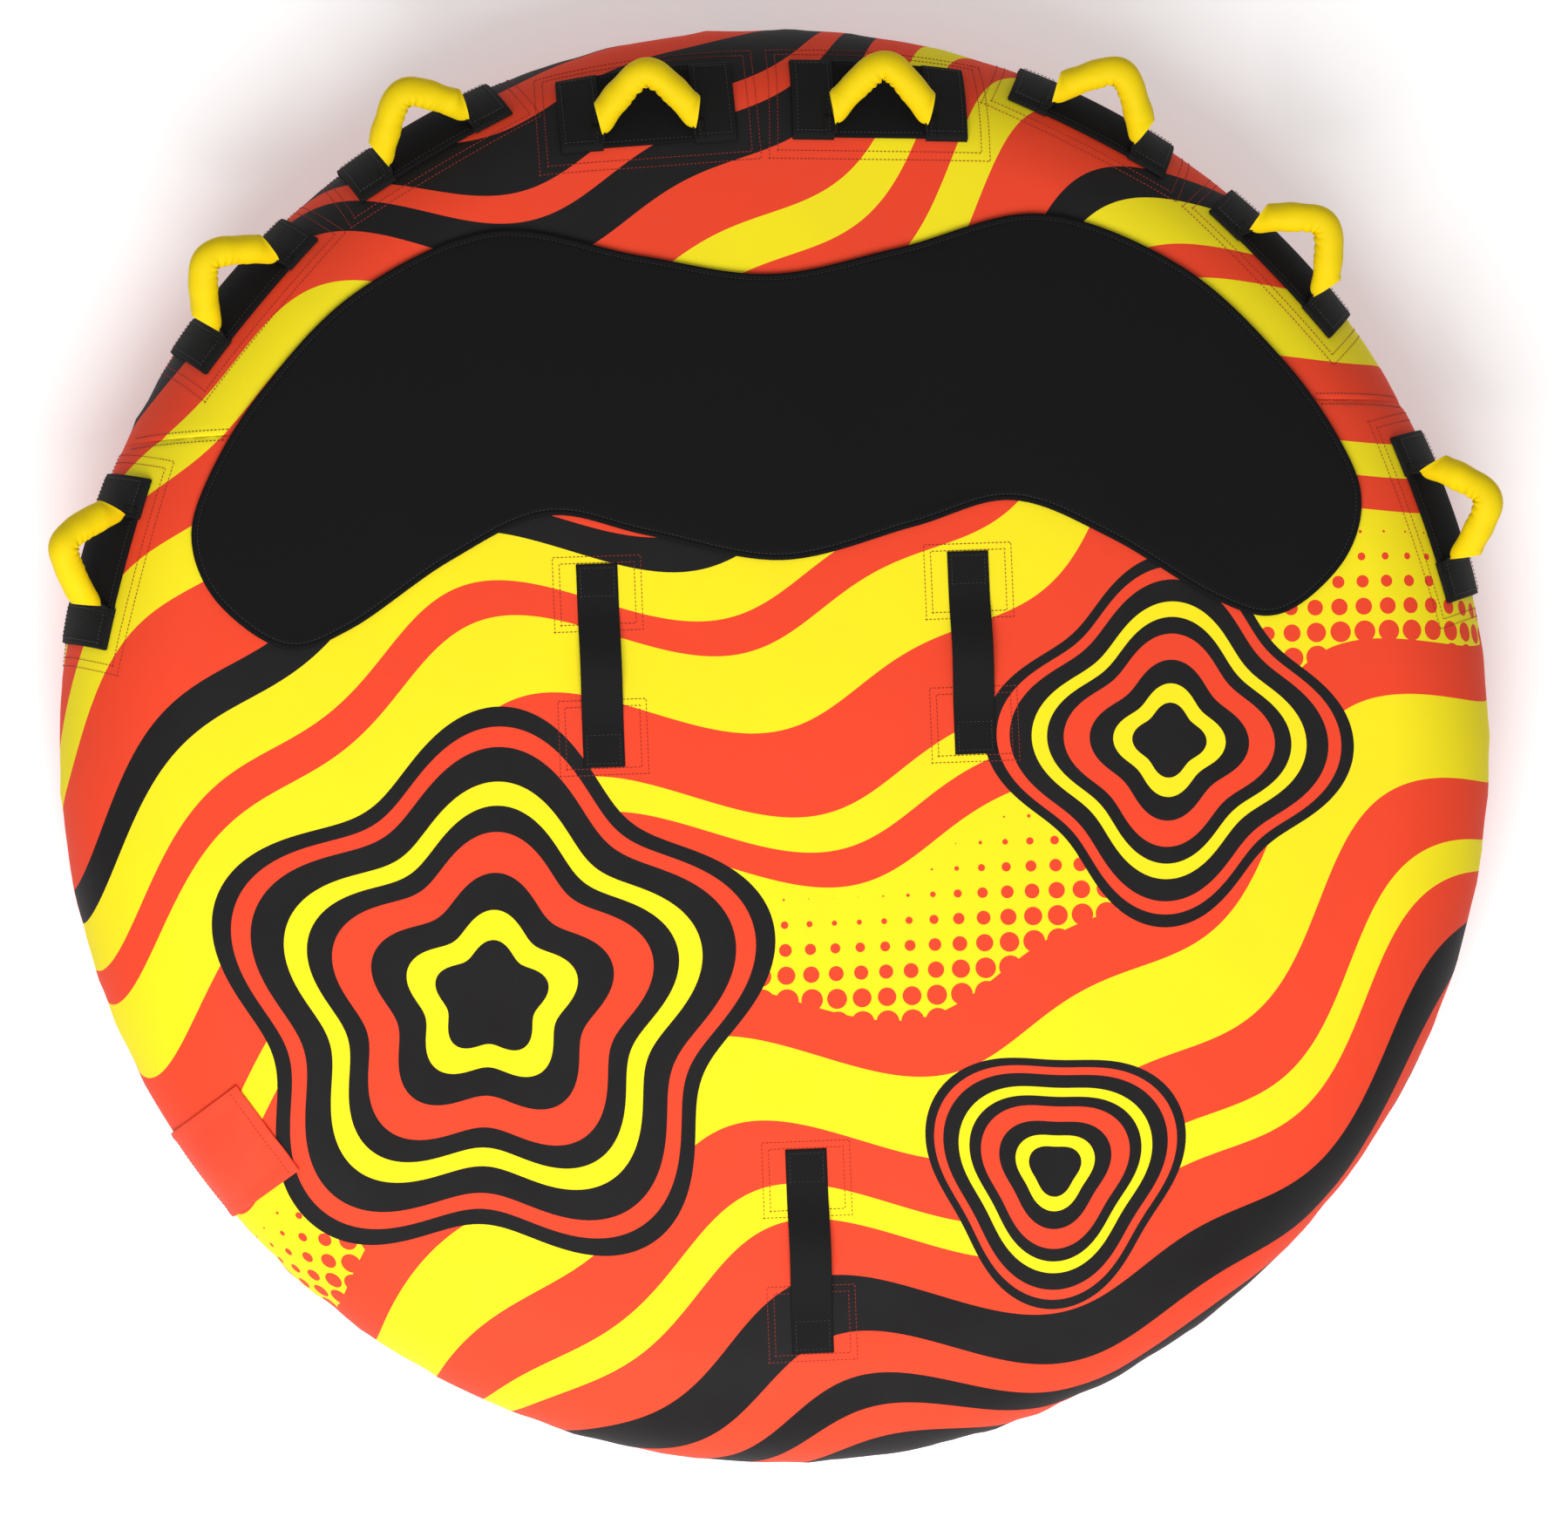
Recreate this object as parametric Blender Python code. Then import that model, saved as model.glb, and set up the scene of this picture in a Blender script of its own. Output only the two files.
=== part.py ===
"""Towable tube for riders lying down: a zipped cover round an inflated bladder.

Metres, +Z up.  The origin is the middle of the underside, the front (tow end, handles) is +Y.
A heading is an angle about Z, measured from the front towards +X.
"""
import math

import bmesh
import bpy
from mathutils import Matrix, Vector

# Inflated form of the tube
TUBE_DIAMETER = 1.75
TUBE_HEIGHT = 0.32
DECK_CROWN = 0.015
SEAM_BELOW_MIDDLE = 0.005
COVER_THICKNESS = 0.0012
BLADDER_THICKNESS = 0.0008
DECK_SEAM_FORWARD = 0.388

# Clearances between sewn, welded or resting pieces
GAP = 0.0003
LAY_GAP = 0.0009

# Inner baffles, parallel walls that hold the deck flat
BAFFLE_THICKNESS = 0.0008
BAFFLE_SPACING = 0.30
BAFFLE_COUNT = 4
BAFFLE_RIM_CLEARANCE = 0.24

# Handles: headings of one side, the slope of the shoulder under each, and the lean of each grip
HANDLE_HEADINGS = (10.4, 28.8, 48.4, 73.1)
HANDLE_SLOPES = (23.0, 60.0, 60.0, 60.0)
HANDLE_LEANS = (56.0, 11.0, 13.0, 6.0)
HANDLE_TURNS = (8.0, 0.0, 0.0, 0.0)
HANDLE_PAD_LENGTH = 0.213
HANDLE_PAD_WIDTH = 0.104
HANDLE_PAD_THICKNESS = 0.005
BAND_WIDTH = 0.050
BAND_THICKNESS = 0.0022
BAND_END_MARGIN = 0.001
GRIP_DIAMETER = 0.035
GRIP_TIP_DIAMETER = 0.016
GRIP_BORE_CLEARANCE = 0.0003
GRIP_RISE = 0.075
GRIP_ARM_FALL = 0.61
GRIP_TURN = 0.72
GRIP_END_RISE = 0.009
GRIP_SETBACK = 0.038
GRIP_BEND = 0.34
GRIP_TAPER = 0.028
CORE_DIAMETER = 0.009
CORE_LAP = 0.009

# Body pad: heading in degrees and distance in from the rim, front middle to rear middle
BODY_PAD_OUTLINE = (
    (0.0, 0.316),
    (15.0, 0.268),
    (28.0, 0.170),
    (42.0, 0.130),
    (55.0, 0.118),
    (65.0, 0.113),
    (70.5, 0.126),
    (75.0, 0.176),
    (78.0, 0.262),
    (74.0, 0.334),
    (60.5, 0.416),
    (45.5, 0.481),
    (32.8, 0.580),
    (0.0, 0.662),
)
BODY_PAD_THICKNESS = 0.006
BODY_PAD_CELL = 0.15

# Deck straps: a pair either side of the middle, and one in from the rear of the rim
DECK_STRAP_APART = 0.448
DECK_STRAP_FORWARD = 0.094
DECK_STRAP_FROM_REAR = 0.258
DECK_STRAP_LENGTH = 0.245
DECK_STRAP_WIDTH = 0.050
DECK_STRAP_THICKNESS = 0.0024
DECK_STRAP_SEWN_END = 0.046
DECK_STRAP_RISE = 0.014

# Valve and its flap, at the left rear of the rim
VALVE_HEADING = -124.6
FLAP_WIDTH = 0.126
FLAP_LENGTH = 0.175
FLAP_THICKNESS = 0.0016
FLAP_HINGE_SLOPE = 88.0
FLAP_PUFF = 0.008
VALVE_NECK_DIAMETER = 0.040
VALVE_NECK_CLEARANCE = 0.0006
VALVE_PASSAGE_DIAMETER = 0.026
VALVE_FLANGE_DIAMETER = 0.066
VALVE_FLANGE_THICKNESS = 0.0022
VALVE_CAP_DIAMETER = 0.043
VALVE_CAP_THICKNESS = 0.0032
VALVE_CAP_GRIP_DEPTH = 0.0012
VALVE_PLUG_LENGTH = 0.006
VALVE_COVER_HOLE = 0.070

# Zip round the rear, below the rim seam
ZIP_HALF_ANGLE = 28.0
ZIP_BELOW_SEAM = 33.75
ZIP_TAPE_WIDTH = 0.032
ZIP_TAPE_THICKNESS = 0.0012
ZIP_COIL_WIDTH = 0.0065
ZIP_COIL_HEIGHT = 0.0022
ZIP_END_STOP = 0.034
SLIDER_LENGTH = 0.020
SLIDER_WIDTH = 0.013
SLIDER_HEIGHT = 0.0042
SLIDER_LUG_HEIGHT = 0.005

# Tow strap and ring at the front, below the rim seam
TOW_STRAP_WIDTH = 0.050
TOW_STRAP_THICKNESS = 0.0025
TOW_STRAP_LENGTH = 0.100
TOW_LOOP_BELOW_SEAM = 26.0
TOW_RING_BAR = 0.008
TOW_RING_INSIDE_WIDTH = 0.053
TOW_RING_DROP = 0.044
TOW_BAR_CLEARANCE = 0.0006

# Facet counts
ROUND_FACET_COUNT = 54
SHOULDER_FACET_COUNT = 8
BLADDER_FACET_COUNT = 4
DECK_FACET_COUNT = 2
BAFFLE_FACET_COUNT = 8
PAD_ROW_COUNT = 5
PAD_COLUMN_COUNT = 6
BAND_COLUMN_COUNT = 2
GRIP_FACET_COUNT = 10
GRIP_SIDE_COUNT = 8
ARCH_HALVINGS = 30
STRAP_FACET_COUNT = 16
OUTLINE_SAMPLE_COUNT = 3
FLAP_ROW_COUNT = 8
FLAP_COLUMN_COUNT = 6
VALVE_SIDE_COUNT = 20
HOLE_SIDE_COUNT = 24
CAP_SIDE_COUNT = 24
CAP_NOTCH_EVERY = 4
ZIP_FACET_COUNT = 20
TOW_ROW_COUNT = 5
LOOP_SIDE_COUNT = 20
RING_SIDE_COUNT = 8
RING_BOW_COUNT = 8

RED = (0.96, 0.07, 0.02)
BLACK_NEOPRENE = (0.011, 0.011, 0.012)
BLACK_WEBBING = (0.008, 0.008, 0.008)
GRIP_YELLOW = (0.93, 0.68, 0.002)
BLADDER_BLACK = (0.02, 0.02, 0.022)
VALVE_GREY = (0.09, 0.09, 0.10)
ZIP_BLACK = (0.012, 0.012, 0.013)
RING_STEEL = (0.56, 0.57, 0.58)

# Worked out from the sizes above
RIM_RADIUS = TUBE_DIAMETER / 2
SEAM_HEIGHT = TUBE_HEIGHT / 2 - SEAM_BELOW_MIDDLE
DECK_RISE = TUBE_HEIGHT - SEAM_HEIGHT
SHOULDER_RADIUS = DECK_RISE - DECK_CROWN
SHOULDER_CENTRE = RIM_RADIUS - SHOULDER_RADIUS
DECK_RADIUS = (SHOULDER_CENTRE ** 2 + DECK_RISE ** 2 - SHOULDER_RADIUS ** 2) / (2 * DECK_CROWN)
DECK_EDGE_SLOPE = math.atan2(SHOULDER_CENTRE, DECK_RADIUS - DECK_RISE)
DECK_EDGE_ARC = DECK_RADIUS * DECK_EDGE_SLOPE
BASE_CENTRE = RIM_RADIUS - SEAM_HEIGHT
BLADDER_LIFT = -(COVER_THICKNESS + GAP)
BAND_TOP = LAY_GAP + HANDLE_PAD_THICKNESS + GAP + BAND_THICKNESS
BAND_INNER_EDGE = HANDLE_PAD_LENGTH / 2 - BAND_END_MARGIN - BAND_WIDTH
DECK_STRAP_PLACES = {
    "deck_strap_left": (-DECK_STRAP_APART / 2, DECK_STRAP_FORWARD),
    "deck_strap_right": (DECK_STRAP_APART / 2, DECK_STRAP_FORWARD),
    "deck_strap_rear": (0.0, DECK_STRAP_FROM_REAR - RIM_RADIUS),
}
DECK_FACET_SAG = (DECK_EDGE_ARC / DECK_FACET_COUNT) ** 2 / (8 * DECK_RADIUS)
BLADDER_FACET_SAG = (SHOULDER_RADIUS * (1.0 - math.cos(math.pi / 4 / BLADDER_FACET_COUNT))
                     + RIM_RADIUS * (1.0 - math.cos(math.pi / ROUND_FACET_COUNT)))


def heading_vectors(heading):
    """Outward and sideways unit vectors at a heading in radians."""
    outward = Vector((math.sin(heading), math.cos(heading), 0.0))
    sideways = Vector((math.cos(heading), -math.sin(heading), 0.0))
    return outward, sideways


def top_profile(arc, lift):
    """Radius, height and slope on the upper half, arc metres out from the axis along the cover."""
    if arc <= DECK_EDGE_ARC:
        slope = arc / DECK_RADIUS
        reach = DECK_RADIUS + lift
        return reach * math.sin(slope), TUBE_HEIGHT - DECK_RADIUS + reach * math.cos(slope), slope
    slope = DECK_EDGE_SLOPE + (arc - DECK_EDGE_ARC) / SHOULDER_RADIUS
    reach = SHOULDER_RADIUS + lift
    return SHOULDER_CENTRE + reach * math.sin(slope), SEAM_HEIGHT + reach * math.cos(slope), slope


def arc_at_slope(slope_degrees):
    """Distance along the cover from the axis to where the shoulder has this slope."""
    return DECK_EDGE_ARC + SHOULDER_RADIUS * (math.radians(slope_degrees) - DECK_EDGE_SLOPE)


def arc_at_radius(radius):
    """Distance along the cover from the axis to this radius on the upper half."""
    edge = DECK_RADIUS * math.sin(DECK_EDGE_SLOPE)
    if radius <= edge:
        return DECK_RADIUS * math.asin(radius / DECK_RADIUS)
    return arc_at_slope(math.degrees(math.asin((radius - SHOULDER_CENTRE) / SHOULDER_RADIUS)))


def deck_point(across, forward, lift):
    """Point above the deck at a plan position, lifted square to the cover."""
    heading = math.atan2(across, forward)
    outward = heading_vectors(heading)[0]
    radius, height, _ = top_profile(arc_at_radius(math.hypot(across, forward)), lift)
    return outward * radius + Vector((0.0, 0.0, height))


def patch_point(heading, arc, along, lift):
    """Point on a straight patch laid on the upper half: along runs sideways from its middle line."""
    radius, _, slope = top_profile(arc, 0.0)
    bent_arc = arc + math.cos(slope) * along ** 2 / (2 * radius)
    outward = heading_vectors(heading + along / radius)[0]
    reach, height, _ = top_profile(bent_arc, lift)
    return outward * reach + Vector((0.0, 0.0, height))


def swung_point(heading, middle, turn, down, along, lift):
    """Point on a patch that is swung on the cover about its middle."""
    arc = middle + down * math.cos(turn) + along * math.sin(turn)
    return patch_point(heading, arc, along * math.cos(turn) - down * math.sin(turn), lift)


def patch_frame(heading, arc, lift):
    """Frame on the upper half: X sideways, Y down the slope, Z square out of the cover."""
    outward, sideways = heading_vectors(heading)
    reach, height, slope = top_profile(arc, lift)
    up = Vector((0.0, 0.0, 1.0))
    down_slope = outward * math.cos(slope) - up * math.sin(slope)
    normal = outward * math.sin(slope) + up * math.cos(slope)
    origin = outward * reach + up * height
    return Matrix.Translation(origin) @ Matrix((sideways, down_slope, normal)).transposed().to_4x4()


def base_profile(below, lift):
    """Radius and height on the lower shoulder, below radians under the rim seam."""
    reach = SEAM_HEIGHT + lift
    return BASE_CENTRE + reach * math.cos(below), SEAM_HEIGHT - reach * math.sin(below)


def base_frame(heading, below, lift):
    """Frame on the lower shoulder: X sideways, Y down the slope, Z square out of the cover."""
    outward, sideways = heading_vectors(heading)
    reach, height = base_profile(below, lift)
    up = Vector((0.0, 0.0, 1.0))
    down_slope = -outward * math.sin(below) - up * math.cos(below)
    normal = outward * math.cos(below) - up * math.sin(below)
    origin = outward * reach + up * height
    return Matrix.Translation(origin) @ Matrix((sideways, down_slope, normal)).transposed().to_4x4()


def material(name, colour, roughness, metallic=0.0):
    """Principled material with one colour."""
    made = bpy.data.materials.new(name)
    made.use_nodes = True
    shader = made.node_tree.nodes["Principled BSDF"]
    shader.inputs["Base Color"].default_value = (*colour, 1.0)
    shader.inputs["Roughness"].default_value = roughness
    shader.inputs["Metallic"].default_value = metallic
    made.diffuse_color = (*colour, 1.0)
    return made


def add_object(name, mesh_data, finish, pivot=None, smooth_angle=35.0):
    """Link a mesh as a named sub-part, with its origin on its pivot where it has one."""
    if pivot is not None:
        mesh_data.transform(Matrix.Translation(-pivot))
    mesh_data.shade_smooth()
    mesh_data.set_sharp_from_angle(angle=math.radians(smooth_angle))
    mesh_data.materials.append(finish)
    obj = bpy.data.objects.new(name, mesh_data)
    if pivot is not None:
        obj.location = pivot
    bpy.context.scene.collection.objects.link(obj)
    return obj


def mesh_from(name, points, faces, recalculate=True):
    """Mesh from points and faces, its faces turned outward."""
    mesh_data = bpy.data.meshes.new(name)
    mesh_data.from_pydata([tuple(point) for point in points], [], faces)
    shape = bmesh.new()
    shape.from_mesh(mesh_data)
    if recalculate:
        bmesh.ops.recalc_face_normals(shape, faces=shape.faces)
    bmesh.ops.triangulate(shape, faces=shape.faces)
    shape.to_mesh(mesh_data)
    shape.free()
    return mesh_data


def cut(obj, operation, cutter):
    """Boolean modifier with a hidden cutter."""
    cutter.hide_render = True
    cutter.display_type = "WIRE"
    modifier = obj.modifiers.new(cutter.name, "BOOLEAN")
    modifier.operation = operation
    modifier.solver = "EXACT"
    modifier.object = cutter


def box_cutter(name, low, high, finish):
    """Block between two corners."""
    points = [(x, y, z) for x in (low[0], high[0]) for y in (low[1], high[1]) for z in (low[2], high[2])]
    faces = [(0, 1, 3, 2), (4, 6, 7, 5), (0, 4, 5, 1), (2, 3, 7, 6), (0, 2, 6, 4), (1, 5, 7, 3)]
    return add_object(name, mesh_from(name, points, faces), finish)


def turned(name, frame, profile, sides):
    """Closed solid turned about a frame's Z, from a closed profile of radius and height pairs."""
    points = []
    for step in range(sides):
        turn = 2 * math.pi * step / sides
        for radius, height in profile:
            points.append(frame @ Vector((radius * math.cos(turn), radius * math.sin(turn), height)))
    count = len(profile)
    faces = []
    for step in range(sides):
        following = (step + 1) % sides
        for index in range(count):
            after = (index + 1) % count
            faces.append((step * count + index, following * count + index,
                          following * count + after, step * count + after))
    return mesh_from(name, points, faces)


def slab(name, lower, upper):
    """Closed solid between two grids of points of the same size."""
    rows = len(lower)
    columns = len(lower[0])
    points = [point for grid in (lower, upper) for row in grid for point in row]
    half = rows * columns
    faces = []
    for row in range(rows - 1):
        for column in range(columns - 1):
            corner = row * columns + column
            quad = (corner, corner + 1, corner + columns + 1, corner + columns)
            faces.append(quad)
            faces.append(tuple(half + index for index in reversed(quad)))
    border = [column for column in range(columns)]
    border += [row * columns + columns - 1 for row in range(1, rows)]
    border += [(rows - 1) * columns + column for column in range(columns - 2, -1, -1)]
    border += [row * columns for row in range(rows - 2, 0, -1)]
    for index, start in enumerate(border):
        end = border[(index + 1) % len(border)]
        faces.append((start, end, half + end, half + start))
    return mesh_from(name, points, faces)


def extruded(name, frame, outline, width):
    """Closed solid of an outline in a frame's XZ plane, carried across its Y by a width."""
    points = []
    for side in (-width / 2, width / 2):
        points += [frame @ Vector((x, side, z)) for x, z in outline]
    count = len(outline)
    faces = [tuple(range(count)), tuple(range(2 * count - 1, count - 1, -1))]
    for index in range(count):
        after = (index + 1) % count
        faces.append((index, after, count + after, count + index))
    return mesh_from(name, points, faces)


def steps(low, high, count):
    """Evenly spaced values from low to high, both included."""
    return [low + (high - low) * index / count for index in range(count + 1)]


def turned_cover(name, outer, inner, finish):
    """Shell turned about the tube's axis between two profiles that both start on the axis."""
    points = []
    faces = []
    rings = []
    for profile in (outer, inner):
        pole = len(points)
        points.append((0.0, 0.0, profile[0][1]))
        first = len(points)
        for radius, height in profile[1:]:
            for step in range(ROUND_FACET_COUNT):
                outward = heading_vectors(2 * math.pi * step / ROUND_FACET_COUNT)[0]
                points.append((outward.x * radius, outward.y * radius, height))
        for step in range(ROUND_FACET_COUNT):
            following = (step + 1) % ROUND_FACET_COUNT
            faces.append((pole, first + step, first + following))
            for ring in range(len(profile) - 2):
                here = first + ring * ROUND_FACET_COUNT
                after = here + ROUND_FACET_COUNT
                faces.append((here + step, after + step, after + following, here + following))
        rings.append(len(points) - ROUND_FACET_COUNT)
    for step in range(ROUND_FACET_COUNT):
        following = (step + 1) % ROUND_FACET_COUNT
        faces.append((rings[0] + step, rings[1] + step, rings[1] + following, rings[0] + following))
    return add_object(name, mesh_from(name, points, faces), finish)


def deck_profile(lift, shoulder_steps, seam_gap):
    """Upper half of a section, from the axis to just above the rim seam."""
    arcs = steps(0.0, DECK_EDGE_ARC, DECK_FACET_COUNT)
    rim_arc = arc_at_slope(90.0) - seam_gap / 2
    arcs += steps(DECK_EDGE_ARC, rim_arc, shoulder_steps)[1:]
    return [top_profile(arc, lift)[:2] for arc in arcs]


def underside_profile(lift, shoulder_steps, seam_gap):
    """Lower half of a section, from the axis to just below the rim seam."""
    angles = steps(math.pi / 2, seam_gap / 2 / SEAM_HEIGHT, shoulder_steps)
    return [(0.0, -lift)] + [base_profile(angle, lift) for angle in angles]


def valve_frame(lift):
    """Frame of the valve, in the middle of its flap."""
    arc = arc_at_slope(FLAP_HINGE_SLOPE) - FLAP_LENGTH / 2
    return patch_frame(math.radians(VALVE_HEADING), arc, lift)


def valve_hole(name, diameter, finish):
    """Round cutter through the cover or the bladder at the valve."""
    reach = 2 * VALVE_FLANGE_DIAMETER
    return round_bar(name, valve_frame(0.0), diameter / 2, reach, HOLE_SIDE_COUNT, finish)


def make_cover(finish):
    """Front and rear deck panels, split at the deck seam, and the underside panel."""
    reach = TUBE_DIAMETER
    panels = {
        "cover_deck_front": ((-reach, DECK_SEAM_FORWARD + GAP / 2, -reach), (reach, reach, reach)),
        "cover_deck_rear": ((-reach, -reach, -reach), (reach, DECK_SEAM_FORWARD - GAP / 2, reach)),
    }
    for name, (low, high) in panels.items():
        panel = turned_cover(name, deck_profile(0.0, SHOULDER_FACET_COUNT, GAP),
                             deck_profile(-COVER_THICKNESS, SHOULDER_FACET_COUNT, GAP), finish)
        cut(panel, "INTERSECT", box_cutter(f"{name}_trim", low, high, finish))
        if name == "cover_deck_rear":
            cut(panel, "DIFFERENCE", valve_hole("cover_valve_opening", VALVE_COVER_HOLE, finish))
    turned_cover("cover_base", underside_profile(0.0, SHOULDER_FACET_COUNT, GAP),
                 underside_profile(-COVER_THICKNESS, SHOULDER_FACET_COUNT, GAP), finish)


def bladder_section(lift):
    """Whole section of the bladder's outer or inner face, from the top of the axis to its foot."""
    upper = deck_profile(lift, BLADDER_FACET_COUNT, 0.0)
    lower = underside_profile(lift, BLADDER_FACET_COUNT, 0.0)
    return upper + list(reversed(lower))[1:]


def make_bladder(finish):
    """Inflatable bladder, a thin wall inside the cover, open at its valve."""
    points = []
    faces = []
    for lift, inward in ((BLADDER_LIFT, False), (BLADDER_LIFT - BLADDER_THICKNESS, True)):
        section = bladder_section(lift)
        top = len(points)
        points.append((0.0, 0.0, section[0][1]))
        for radius, height in section[1:-1]:
            for step in range(ROUND_FACET_COUNT):
                outward = heading_vectors(2 * math.pi * step / ROUND_FACET_COUNT)[0]
                points.append((outward.x * radius, outward.y * radius, height))
        foot = len(points)
        points.append((0.0, 0.0, section[-1][1]))
        last = foot - ROUND_FACET_COUNT
        for step in range(ROUND_FACET_COUNT):
            following = (step + 1) % ROUND_FACET_COUNT
            made = [(top, top + 1 + following, top + 1 + step), (foot, last + step, last + following)]
            for ring in range(len(section) - 3):
                here = top + 1 + ring * ROUND_FACET_COUNT
                after = here + ROUND_FACET_COUNT
                made.append((here + step, here + following, after + following, after + step))
            faces += [tuple(reversed(face)) for face in made] if inward else made
    bladder = add_object("bladder", mesh_from("bladder", points, faces, recalculate=False), finish)
    hole = VALVE_NECK_DIAMETER + 2 * VALVE_NECK_CLEARANCE
    cut(bladder, "DIFFERENCE", valve_hole("bladder_valve_opening", hole, finish))


def make_baffles(finish):
    """Parallel upright walls inside the bladder, from its floor to its roof."""
    roof = BLADDER_LIFT - BLADDER_THICKNESS - GAP
    floor = COVER_THICKNESS + GAP + BLADDER_THICKNESS + GAP
    for index in range(BAFFLE_COUNT):
        forward = (index - (BAFFLE_COUNT - 1) / 2) * BAFFLE_SPACING
        reach = math.sqrt((RIM_RADIUS - BAFFLE_RIM_CLEARANCE) ** 2 - forward ** 2)
        lower = []
        upper = []
        for side in (-BAFFLE_THICKNESS / 2, BAFFLE_THICKNESS / 2):
            across = steps(-reach, reach, BAFFLE_FACET_COUNT)
            lower.append([Vector((x, forward + side, floor)) for x in across])
            upper.append([deck_point(x, forward + side, roof - DECK_FACET_SAG) for x in across])
        name = f"bladder_baffle_{index + 1}"
        add_object(name, slab(name, lower, upper), finish)


def patch_slab(name, heading, arcs, alongs, low_lift, high_lift, finish, pivot=None, puff=None, turn=0.0):
    """Thin piece laid on the upper half of the cover, swung about the middle of its range of arcs."""
    middle = (arcs[0] + arcs[-1]) / 2
    layers = []
    for lift in (low_lift, high_lift):
        rows = []
        for arc in arcs:
            row = []
            for along in alongs:
                extra = puff(arc, along) if puff else 0.0
                row.append(swung_point(heading, middle, turn, arc - middle, along, lift + extra))
            rows.append(row)
        layers.append(rows)
    return add_object(name, slab(name, *layers), finish, pivot)


def arch_point(half_span, share):
    """Sideways place and rise on a grip's path: two arms from its bend, turned down at their ends."""
    place = math.sin(share * math.pi / 2)
    arm = math.sqrt(place ** 2 + GRIP_BEND ** 2) - GRIP_BEND
    arm /= math.sqrt(1.0 + GRIP_BEND ** 2) - GRIP_BEND
    turn = max(0.0, (abs(place) - GRIP_TURN) / (1.0 - GRIP_TURN))
    rise = GRIP_RISE * (1.0 - GRIP_ARM_FALL * arm) * math.sqrt(max(0.0, 1.0 - turn ** 2))
    return Vector((place * half_span, rise))


def arch_path(half_span):
    """Path of a grip from tip to tip, which both stop short of the hinge line."""
    inside = 0.0
    outside = 1.0
    for _ in range(ARCH_HALVINGS):
        middle = (inside + outside) / 2
        if arch_point(half_span, middle).y > GRIP_END_RISE:
            inside = middle
        else:
            outside = middle
    return [arch_point(half_span, share) for share in steps(-inside, inside, GRIP_FACET_COUNT)]


def path_tangents(path):
    """Unit direction at each point of an open path."""
    tangents = []
    for index in range(len(path)):
        before = path[max(index - 1, 0)]
        after = path[min(index + 1, len(path) - 1)]
        tangents.append((after - before).normalized())
    return tangents


def tube_rings(frame, lean, path, radii, sides):
    """Rings of points round a path that lies in a leaning plane of the frame."""
    up = Vector((0.0, math.sin(lean), math.cos(lean)))
    across = Vector((0.0, math.cos(lean), -math.sin(lean)))
    rings = []
    for point, tangent, radius in zip(path, path_tangents(path), radii):
        centre = Vector((point.x, 0.0, 0.0)) + up * point.y
        inward = Vector((-tangent.y, 0.0, 0.0)) + up * tangent.x
        ring = []
        for side in range(sides):
            turn = 2 * math.pi * (side + 0.5) / sides
            offset = inward * (radius * math.cos(turn)) + across * (radius * math.sin(turn))
            ring.append(frame @ (centre + offset))
        rings.append(ring)
    return rings


def tube_faces(first, ring_count, sides):
    """Side faces of a tube whose rings follow each other in the point list."""
    faces = []
    for ring in range(ring_count - 1):
        for side in range(sides):
            here = first + ring * sides
            after = (side + 1) % sides
            faces.append((here + side, here + after, here + sides + after, here + sides + side))
    return faces


def make_grip(name, frame, lean, half_span, finish):
    """Sleeved foam grip: a tapered tube along the arch, with a bore for its core."""
    sides = GRIP_SIDE_COUNT
    path = arch_path(half_span)
    run = [0.0]
    for start, end in zip(path, path[1:]):
        run.append(run[-1] + (end - start).length)
    radii = []
    for place in run:
        swell = math.sin(min(1.0, min(place, run[-1] - place) / GRIP_TAPER) * math.pi / 2)
        radii.append((GRIP_TIP_DIAMETER + (GRIP_DIAMETER - GRIP_TIP_DIAMETER) * swell) / 2)
    outer = tube_rings(frame, lean, path, radii, sides)
    inner = tube_rings(frame, lean, path, [CORE_DIAMETER / 2 + GRIP_BORE_CLEARANCE] * len(path), sides)
    points = [point for rings in (outer, inner) for ring in rings for point in ring]
    half = len(path) * sides
    faces = tube_faces(0, len(path), sides) + tube_faces(half, len(path), sides)
    for ring in (0, len(path) - 1):
        for side in range(sides):
            after = (side + 1) % sides
            start = ring * sides
            faces.append((start + side, start + after, half + start + after, half + start + side))
    add_object(name, mesh_from(name, points, faces), finish, pivot=frame.translation)


def make_core(name, frame, lean, half_span, finish):
    """Webbing core of a grip, rolled into a cord whose ends lie along the hinge line."""
    sides = GRIP_SIDE_COUNT
    left_end = [Vector((-half_span - CORE_LAP, 0.0)), Vector((-half_span, 0.0))]
    right_end = [Vector((half_span, 0.0)), Vector((half_span + CORE_LAP, 0.0))]
    path = left_end + arch_path(half_span) + right_end
    rings = tube_rings(frame, lean, path, [CORE_DIAMETER / 2] * len(path), sides)
    points = [point for ring in rings for point in ring]
    faces = tube_faces(0, len(path), sides)
    faces += [tuple(range(sides)), tuple(range(len(points) - sides, len(points)))]
    add_object(name, mesh_from(name, points, faces), finish, pivot=frame.translation)


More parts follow.
